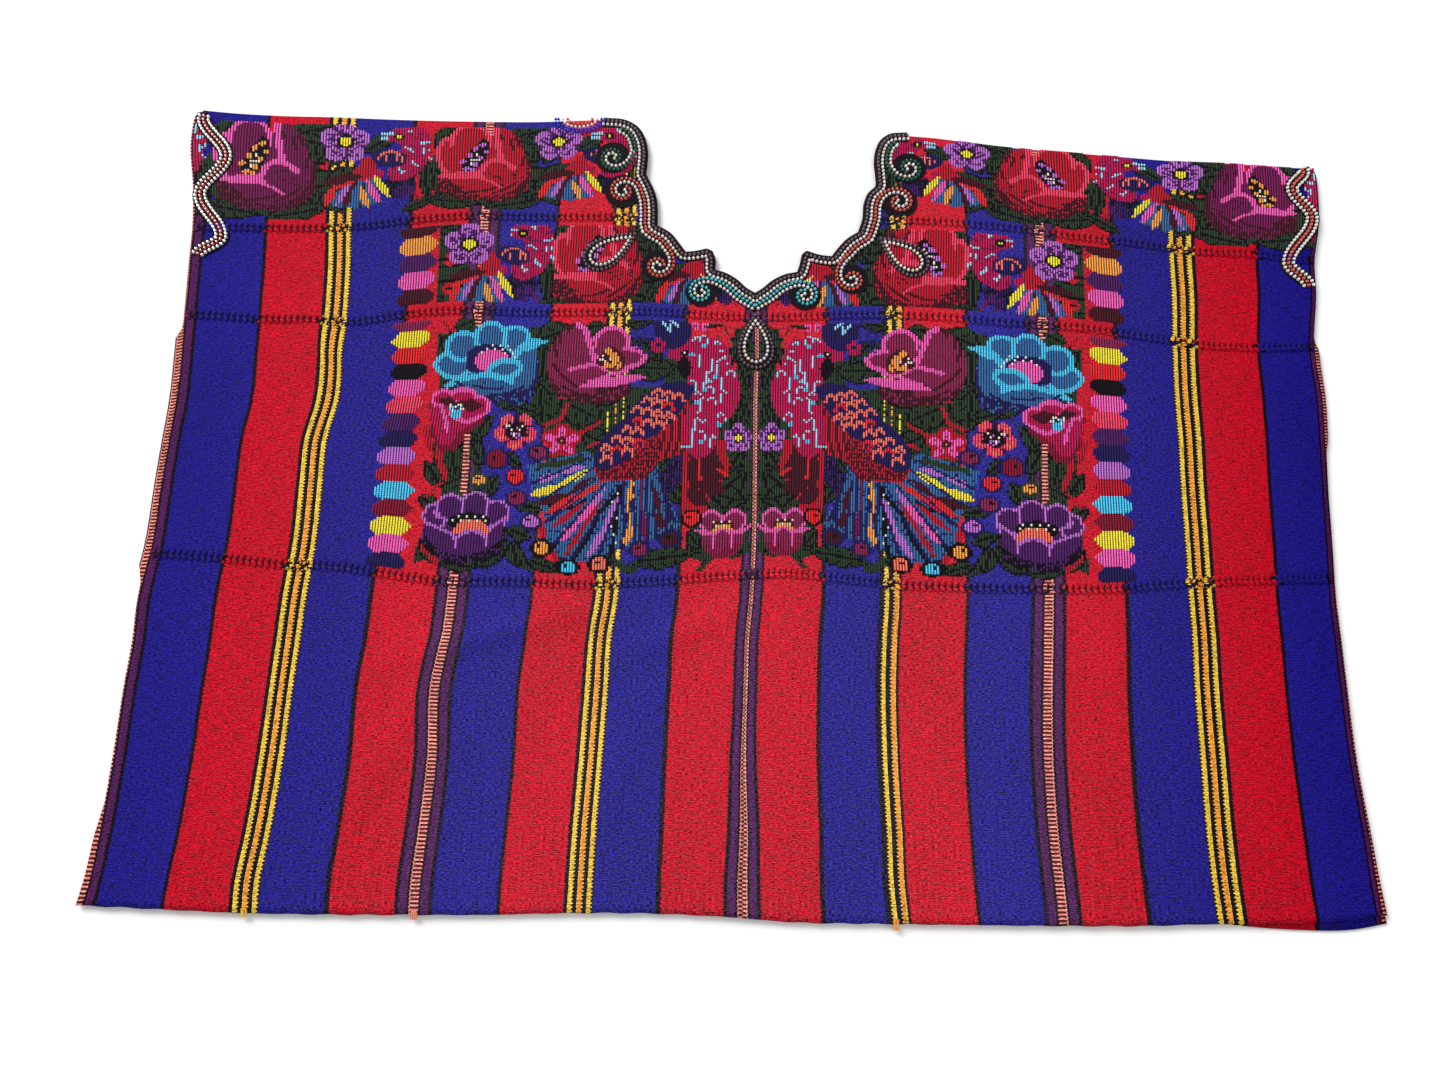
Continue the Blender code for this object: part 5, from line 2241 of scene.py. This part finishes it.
class BeadWork:
    """The beaded borders, scrolls, drops and waves."""

    PITCH = 3.45
    RADIUS = 1.32
    TALL = 1.5
    ROW_GAP = 1.65

    SCROLLS = [
        Scroll(Side.LEFT, 4, Bead.TURQUOISE, 0, 3, -39, 467, 11, 1.15),
        Scroll(Side.LEFT, 3, Bead.SALMON, 12, 10, -73, 490, 12, -1.15),
        Scroll(Side.LEFT, 2, Bead.SALMON, 12, 15, -102, 557, 13.5, 1.15),
        Scroll(Side.LEFT, 1, Bead.GREEN, 21, 18, -111, 588, 13, -1.2),
        Scroll(Side.RIGHT, 4, Bead.TURQUOISE, 0, 3, 42, 464, 11, -1.15),
        Scroll(Side.RIGHT, 3, Bead.SALMON, 12, 10, 79, 478, 11.5, 1.15),
        Scroll(Side.RIGHT, 2, Bead.SALMON, 12, 15, 119, 547, 13, -1.15),
        Scroll(Side.RIGHT, 1, Bead.GREEN, 21, 18, 128, 578, 12.5, 1.2),
    ]
    DROPS = {
        "left": ((-90, 519), (-131, 490), 28.0),
        "right": ((101, 515), (138, 484), 28.0),
        "centre": ((3, 449), (3.5, 401), 29.0),
    }
    WAVES = {
        Side.LEFT: [(627, 8), (590, 29), (554, 6), (515, 24), (500, 7)],
        Side.RIGHT: [(577, 9), (559, 21), (532, 6), (493, 21), (472, 6)],
    }
    ARCS = [(Bead.BLUE, 20.0, 12.2), (Bead.BLUE, 17.6, 10.0), (Bead.PEARL, 13.8, 7.4),
            (Bead.SALMON, 10.0, 4.2)]
    ARC_AT = (-139.0, 624.0)
    POINT_PATCH = ((3.0, 465.0), (14.0, 471.0), (9.0, 460.0), (3.0, 448.0), (-3.0, 460.0), (-8.0, 471.0))

    def __init__(self, finishes: dict, ground: bpy.types.Material) -> None:
        """Keep the finishes and start the lists of beads.

        Args:
            finishes: The beads' finishes.
            ground: The dark ground's finish.
        """
        self.finishes = finishes
        self.ground = ground
        self.beads: dict[Bead, list] = {bead: [] for bead in Bead}

    def side_of(self, x: float) -> Side:
        """The side a plan point lies on."""
        return Side.LEFT if x < 3 else Side.RIGHT

    def string(self, bead: Bead, path: np.ndarray, lift: float, closed: bool = False) -> None:
        """Thread beads along a path, a little apart and a little uneven.

        Args:
            bead: The beads' colour.
            path: The path's points.
            lift: Millimetres above the cloth.
            closed: Whether the path meets itself.
        """
        if closed:
            path = np.concatenate([path, path[:1]])
        line = resample(path, self.PITCH)
        run = np.gradient(line, axis=0)
        if closed:
            line, run = line[:-1], run[:-1]
        side = self.side_of(float(np.mean(line[:, 0])))
        z = PLAN.top(side, line[:, 0], line[:, 1]) + lift
        for (x, y), (dx, dy), height in zip(line, run, z):
            self.beads[bead].append((x, y, height, math.atan2(dy, dx)))

    def ribbon(self, name: str, path: np.ndarray, half: float, lift: float,
               node: str | None = None) -> bpy.types.Object:
        """A flat dark strip along a path, for beads to sit on.

        Args:
            name: The piece's name.
            path: The path's points.
            half: Half its width, in millimetres.
            lift: Millimetres above the cloth.
            node: The CAD node that it stands for.

        Returns:
            The strip's object.
        """
        line = resample(path, 1.2)
        side_step = normals(line)
        across = np.array([-1.0, -0.93, 0.93, 1.0]) * half
        x = line[:, 0][:, None] + side_step[:, 0][:, None] * across
        y = line[:, 1][:, None] + side_step[:, 1][:, None] * across
        side = self.side_of(float(np.mean(line[:, 0])))
        z = PLAN.top(side, x, y) + np.array([-0.15, lift, lift, -0.15])
        mesh, i, j = grid_mesh(name, 3, len(line) - 1)
        put(mesh, to_part(x[j, i], y[j, i], z[j, i]))
        face_up(mesh)
        return piece(name, mesh, self.ground, [node] if node else [])

    def disc(self, name: str, outline: np.ndarray, lift: float, node: str | None = None) -> bpy.types.Object:
        """A flat dark patch with a given outline, for beads to sit on.

        Args:
            name: The piece's name.
            outline: The outline's points.
            lift: Millimetres above the cloth.
            node: The CAD node that it stands for.

        Returns:
            The patch's object.
        """
        side = self.side_of(float(np.mean(outline[:, 0])))
        bm = bmesh.new()
        top = PLAN.top(side, outline[:, 0], outline[:, 1]) + lift
        points = to_part(outline[:, 0], outline[:, 1], top)
        face = bm.faces.new([bm.verts.new(point) for point in points])
        bmesh.ops.recalc_face_normals(bm, faces=[face])
        if face.normal.z < 0:
            bmesh.ops.reverse_faces(bm, faces=[face])
        wall = bmesh.ops.extrude_face_region(bm, geom=[face], use_keep_orig=True)
        low = [item for item in wall["geom"] if isinstance(item, bmesh.types.BMVert)]
        bmesh.ops.translate(bm, verts=low, vec=(0, 0, -(lift + 0.2) * MM))
        bmesh.ops.recalc_face_normals(bm, faces=bm.faces)
        mesh = bpy.data.meshes.new(name)
        bm.to_mesh(mesh)
        bm.free()
        return piece(name, mesh, self.ground, [node] if node else [], rounded_off=False)

    def neck_border(self, side: Side) -> None:
        """The satin border that wraps the neck edge, and its two long rows.

        Args:
            side: The side of the blouse.
        """
        edge = EDGES[side]
        profile = [(1.0, -1.5), (-0.5, -1.3), (-1.0, -0.5), (-0.6, 0.3), (0.6, 0.55), (4.0, 0.62),
                   (7.4, 0.62), (8.1, 0.4), (8.5, -0.15)]
        insets = [edge.inset(depth) if depth > 0 else edge.line + edge.inward * depth for depth, _ in profile]
        x = np.stack([inset[:, 0] for inset in insets], axis=1)
        y = np.stack([inset[:, 1] for inset in insets], axis=1)
        z = PLAN.top(side, x, y) + np.array([height for _, height in profile])
        mesh, i, j = grid_mesh(f"neck_border_{side.word}", len(profile) - 1, len(edge.line) - 1)
        put(mesh, to_part(x[j, i], y[j, i], z[j, i]))
        face_up(mesh)
        border = piece(f"neck_border_{side.word}", mesh, self.ground,
                       [f"neck_band_{side.word}"])
        wall = border.modifiers.new("wall", "SOLIDIFY")
        wall.thickness = 0.25 * MM
        wall.offset = -1
        self.string(Bead.SMOKE, edge.parallel(2.5), 0.6)
        self.string(Bead.PEARL, edge.parallel(5.9), 0.6)

    def scroll(self, scroll: Scroll) -> None:
        """One scroll: its dark ground, its coloured row and its pearl row.

        Args:
            scroll: The scroll.
        """
        name = f"{scroll.side.word}_{scroll.number}"
        path = scroll.path()
        t = np.linspace(0, 2 * math.pi, 32, endpoint=False)
        reach = scroll.radius + 1.3
        outline = np.stack([scroll.x + reach * np.cos(t), scroll.y + reach * np.sin(t)], axis=1)
        self.disc(f"scroll_ground_{name}", outline, 0.95, f"bead_scroll_{name}")
        self.ribbon(f"scroll_lead_{name}", scroll.lead(), 3.4, 0.85)
        step = normals(path)
        outer = -1.0 if scroll.turns > 0 else 1.0
        self.string(Bead.PEARL, path - step * outer * self.ROW_GAP, 0.95)
        self.string(scroll.dye, path + step * outer * self.ROW_GAP, 0.95)

    def drop_outline(self, tip: tuple, end: tuple, width: float, inset: float) -> np.ndarray:
        """A teardrop's outline, moved in by an inset.

        Args:
            tip: Where it is pointed.
            end: Where it is round.
            width: Its width.
            inset: Millimetres in from the outline.

        Returns:
            The outline's points.
        """
        tip, end = np.array(tip, float), np.array(end, float)
        half = np.linalg.norm(end - tip) / 2
        along = (tip - end) / (2 * half)
        aside = np.array([-along[1], along[0]])
        t = np.linspace(0, 2 * math.pi, 72, endpoint=False)
        shrink_long = 1 - inset * 1.25 / half
        shrink_wide = 1 - inset / (width / 2)
        centre = (tip + end) / 2
        return (centre + np.outer(np.cos(t) * half * shrink_long, along)
                + np.outer(np.sin(t) * np.sin(t / 2) / 0.77 * width / 2 * shrink_wide, aside))

    def drop(self, word: str) -> None:
        """One teardrop: its ring of dark ground, a dark row and a pearl row.

        Args:
            word: Which teardrop.
        """
        tip, end, width = self.DROPS[word]
        rings = [(self.drop_outline(tip, end, width, inset), rise)
                 for inset, rise in ((0.0, -0.2), (0.35, 0.9), (7.2, 0.9), (7.6, -0.2))]
        x, y = (np.stack([np.append(ring[:, k], ring[0, k]) for ring, _ in rings]) for k in range(2))
        side = self.side_of(float(x.mean()))
        z = PLAN.top(side, x, y) + np.array([rise for _, rise in rings])[:, None]
        mesh, i, j = grid_mesh(f"drop_ground_{word}", x.shape[1] - 1, 3)
        put(mesh, to_part(x[j, i], y[j, i], z[j, i]))
        face_up(mesh)
        piece(f"drop_ground_{word}", mesh, self.ground, [f"bead_drop_{word}"])
        self.string(Bead.SMOKE, self.drop_outline(tip, end, width, 1.6), 0.9, closed=True)
        self.string(Bead.PEARL, self.drop_outline(tip, end, width, 5.4), 0.9, closed=True)

    def wave_path(self, side: Side) -> np.ndarray:
        """The middle of one armhole wave.

        Args:
            side: The side of the blouse.

        Returns:
            The wave's points.
        """
        knots = self.WAVES[side]
        points = []
        for (y1, in1), (y2, in2) in zip(knots, knots[1:]):
            t = np.linspace(0, 1, 24, endpoint=False)
            inset = in1 + (in2 - in1) * (1 - np.cos(math.pi * t)) / 2
            y = y1 + (y2 - y1) * t
            x = PLAN.across(side, PLAN.edge_u(side, y, back=False), y) - side.value * inset
            points.append(np.stack([x, y], axis=1))
        return resample(np.concatenate(points), 0.8)

    def wave(self, side: Side) -> None:
        """One armhole wave of three rows.

        Args:
            side: The side of the blouse.
        """
        path = self.wave_path(side)
        self.ribbon(f"wave_ground_{side.word}", path, 6.5, 0.9, f"armhole_wave_{side.word}")
        step = normals(path)
        for bead, offset in ((Bead.PEARL, -3.8), (Bead.SALMON, 0.0), (Bead.PEARL, 3.8)):
            self.string(bead, path + step * offset, 0.9)

    def arcs(self) -> None:
        """The rainbow arcs that hang from the left shoulder."""
        t = np.linspace(math.pi, 2 * math.pi, 60)
        for bead, wide, tall in self.ARCS:
            x = self.ARC_AT[0] + wide * np.cos(t)
            y = self.ARC_AT[1] + tall * np.sin(t)
            self.string(bead, np.stack([x, y], axis=1), 0.9)

    def build(self) -> None:
        """Lay every ground and string every bead."""
        for side in Side:
            self.neck_border(side)
            self.wave(side)
        self.disc("point_ground", np.array(self.POINT_PATCH), 0.5)
        for scroll in self.SCROLLS:
            self.scroll(scroll)
        for word in self.DROPS:
            self.drop(word)
        self.arcs()
        for bead, places in self.beads.items():
            self.set_beads(bead, places)

    def set_beads(self, bead: Bead, places: list) -> None:
        """Make every bead of one colour as a faceted stone with a flat top.

        Args:
            bead: The beads' colour.
            places: Each bead's place and turn.
        """
        bm = bmesh.new()
        for x, y, z, turn in places:
            middle = Vector(to_part(x, y, z + self.TALL / 2))
            shape = Matrix.Translation(middle) @ Matrix.Rotation(turn + 0.3927, 4, "Z")
            bmesh.ops.create_cone(bm, cap_ends=True, segments=8, radius1=self.RADIUS * MM,
                                  radius2=self.RADIUS * 0.55 * MM, depth=self.TALL * MM, matrix=shape)
        mesh = bpy.data.meshes.new(f"beads_{bead.value[0]}")
        bm.to_mesh(mesh)
        bm.free()
        piece(f"beads_{bead.value[0]}", mesh, self.finishes[bead], rounded_off=False)


@dataclass(frozen=True)
class Tuft:
    """A knot of loose thread at the hem: where it hangs and its dye."""

    u: float
    side: Side
    dye: tuple
    length: float
    count: int


class ThreadEnds:
    """Knots and loose ends of thread along the hem."""

    TUFTS = [
        Tuft(220, Side.LEFT, srgb(240, 140, 120), 6, 5),
        Tuft(107, Side.RIGHT, srgb(240, 150, 50), 7, 4),
        Tuft(330, Side.LEFT, srgb(240, 200, 70), 6, 3),
    ]

    def __init__(self, finish: Callable[[str, tuple], bpy.types.Material]) -> None:
        """Keep the maker of thread finishes."""
        self.finish = finish

    def build(self) -> None:
        """Lay every tuft as short bent threads."""
        for number, tuft in enumerate(self.TUFTS):
            curve = bpy.data.curves.new(f"thread_ends_{number}", "CURVE")
            curve.dimensions = "3D"
            curve.bevel_depth = 0.5 * MM
            curve.bevel_resolution = 1
            x, y = PLAN.place(tuft.side, np.array([tuft.u]), np.array([1.0]))
            for k in range(tuft.count):
                lean = (k - (tuft.count - 1) / 2) / max(1, tuft.count - 1)
                points = [(x[0] + lean * 3 + 0.8 * math.sin(3 * k + s * 4) * s, y[0] + 2 - tuft.length * s,
                           TOP + 0.6 - 1.6 * s * s) for s in np.linspace(0, 1, 6)]
                spline = curve.splines.new("POLY")
                spline.points.add(len(points) - 1)
                for point, place in zip(spline.points, points):
                    point.co = (*to_part(*place), 1)
            curve.use_fill_caps = True
            curve.materials.append(self.finish(f"loose_thread_{number}", tuft.dye))
            thing = bpy.data.objects.new(f"thread_ends_{number}", curve)
            bpy.context.scene.collection.objects.link(thing)
            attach(thing, BODY)


@dataclass(frozen=True)
class PaleFloor:
    """The plain pale floor."""

    name: str = "pale_floor"

    def build(self) -> bpy.types.Material:
        """Wire the material.

        Returns:
            The material.
        """
        material, _, shader = new_material(self.name)
        shader.inputs["Base Color"].default_value = (0.93, 0.93, 0.93, 1)
        shader.inputs["Roughness"].default_value = 0.95
        shader.inputs["Specular IOR Level"].default_value = 0.1
        return material


class Studio:
    """The floor, the soft lights and the camera."""

    LENS = 27.056
    CAMERA = (-0.02304, -0.26527, 0.7669)
    TILT = 15.7

    def build(self) -> None:
        """Set up everything around the blouse."""
        self.floor()
        self.light("key_light", (-3.9, 4.2, 4.3), 3.6, 500)
        self.light("fill_light", (1.1, -0.5, 1.5), 1.6, 6)
        world = bpy.data.worlds.new("studio")
        world.use_nodes = True
        background = world.node_tree.nodes["Background"]
        background.inputs["Color"].default_value = (1, 1, 1, 1)
        background.inputs["Strength"].default_value = 0.52
        bpy.context.scene.world = world
        bpy.context.scene.view_settings.view_transform = "Standard"
        self.camera()

    def floor(self) -> None:
        """A wide flat floor."""
        bm = bmesh.new()
        bmesh.ops.create_grid(bm, x_segments=1, y_segments=1, size=4)
        mesh = bpy.data.meshes.new("floor")
        bm.to_mesh(mesh)
        bm.free()
        mesh.materials.append(PaleFloor().build())
        floor = bpy.data.objects.new("floor", mesh)
        floor.location.z = -0.0004
        bpy.context.scene.collection.objects.link(floor)

    def light(self, name: str, place: tuple, size: float, power: float) -> None:
        """A square soft light that points at the blouse.

        Args:
            name: The piece's name.
            place: Where it stands, in metres.
            size: Its size.
            power: Its power in watts.
        """
        light = bpy.data.lights.new(name, "AREA")
        light.size = size
        light.energy = power
        thing = bpy.data.objects.new(name, light)
        thing.location = place
        thing.rotation_euler = (-Vector(place)).to_track_quat("-Z", "Y").to_euler()
        bpy.context.scene.collection.objects.link(thing)

    def camera(self) -> None:
        """The camera over the blouse, tilted a little up the cloth."""
        data = bpy.data.cameras.new("camera")
        data.lens = self.LENS
        data.sensor_width = 36
        data.clip_start = 0.01
        camera = bpy.data.objects.new("camera", data)
        camera.location = self.CAMERA
        camera.rotation_euler = (math.radians(self.TILT), 0, 0)
        bpy.context.scene.collection.objects.link(camera)
        bpy.context.scene.camera = camera


@dataclass(frozen=True)
class LooseThread:
    """Plain spun thread of one dye."""

    name: str
    dye: tuple

    def build(self) -> bpy.types.Material:
        """Wire the material.

        Returns:
            The material.
        """
        material, tree, shader = new_material(self.name)
        place = tree.add("ShaderNodeTexCoord").outputs["Object"]
        twist = tree.noise(place, 1400.0, 2.0)
        hue = tree.add("ShaderNodeHueSaturation")
        hue.inputs["Color"].default_value = self.dye
        tree.wire(tree.math("MULTIPLY_ADD", twist, 0.7, 0.6), hue.inputs["Value"])
        tree.wire(hue.outputs[0], shader.inputs["Base Color"])
        shader.inputs["Roughness"].default_value = 0.85
        return material


def flat_area(mesh: bpy.types.Mesh) -> float:
    """Area of a mesh in its woven coordinates, in square metres.

    Args:
        mesh: The mesh.

    Returns:
        Square metres.
    """
    uv = np.empty(len(mesh.loops) * 2)
    mesh.uv_layers["woven"].data.foreach_get("uv", uv)
    quads = uv.reshape(-1, 4, 2)
    a, b = quads[:, 2] - quads[:, 0], quads[:, 3] - quads[:, 1]
    return float(np.abs(a[:, 0] * b[:, 1] - a[:, 1] * b[:, 0]).sum() / 2)


def main() -> None:
    """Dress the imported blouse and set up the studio."""
    cotton = make_cotton_group()
    stripes = {
        Side.LEFT: StripedCotton("striped_cotton_left", cotton, Side.LEFT).build(),
        Side.RIGHT: StripedCotton("striped_cotton_right", cotton, Side.RIGHT, red_reach=391.5,
                                  band_start=432.5, edge_lint=0.0, edge_depth=0.2).build(),
    }
    yarn = BrocadeYarn("brocade_yarn", cotton).build()
    border = BorderCloth("border_cloth").build()
    for side in Side:
        cloth = Lienzo(side, stripes[side]).build()
        flat_area(cloth.data)
    brocade = Brocade(yarn)
    twined = TwinedRow(stripes, border)
    for side in Side:
        brocade.build(side)
        for name, v in (("low", LOW_ROW), ("middle", MIDDLE_ROW), ("high", HIGH_ROW)):
            # Each row lies on a dark strip that shows between its stitches as painted shade.
            twined.strip(side, f"row_ground_{name}_{side.word}", v)
            twined.build(side, f"twined_{name}_{side.word}", v)
    glass = {bead: GlassBead(f"{bead.value[0]}_bead", srgb(*bead.value[1]), bead.value[2],
                             warmth=2.6 if bead is Bead.PEARL else 0.0).build() for bead in Bead}
    BeadWork(glass, border).build()
    ThreadEnds(lambda name, dye: LooseThread(name, dye).build()).build()
    Studio().build()


if __name__ == "__main__":
    logging.basicConfig(level=logging.INFO)
    main()
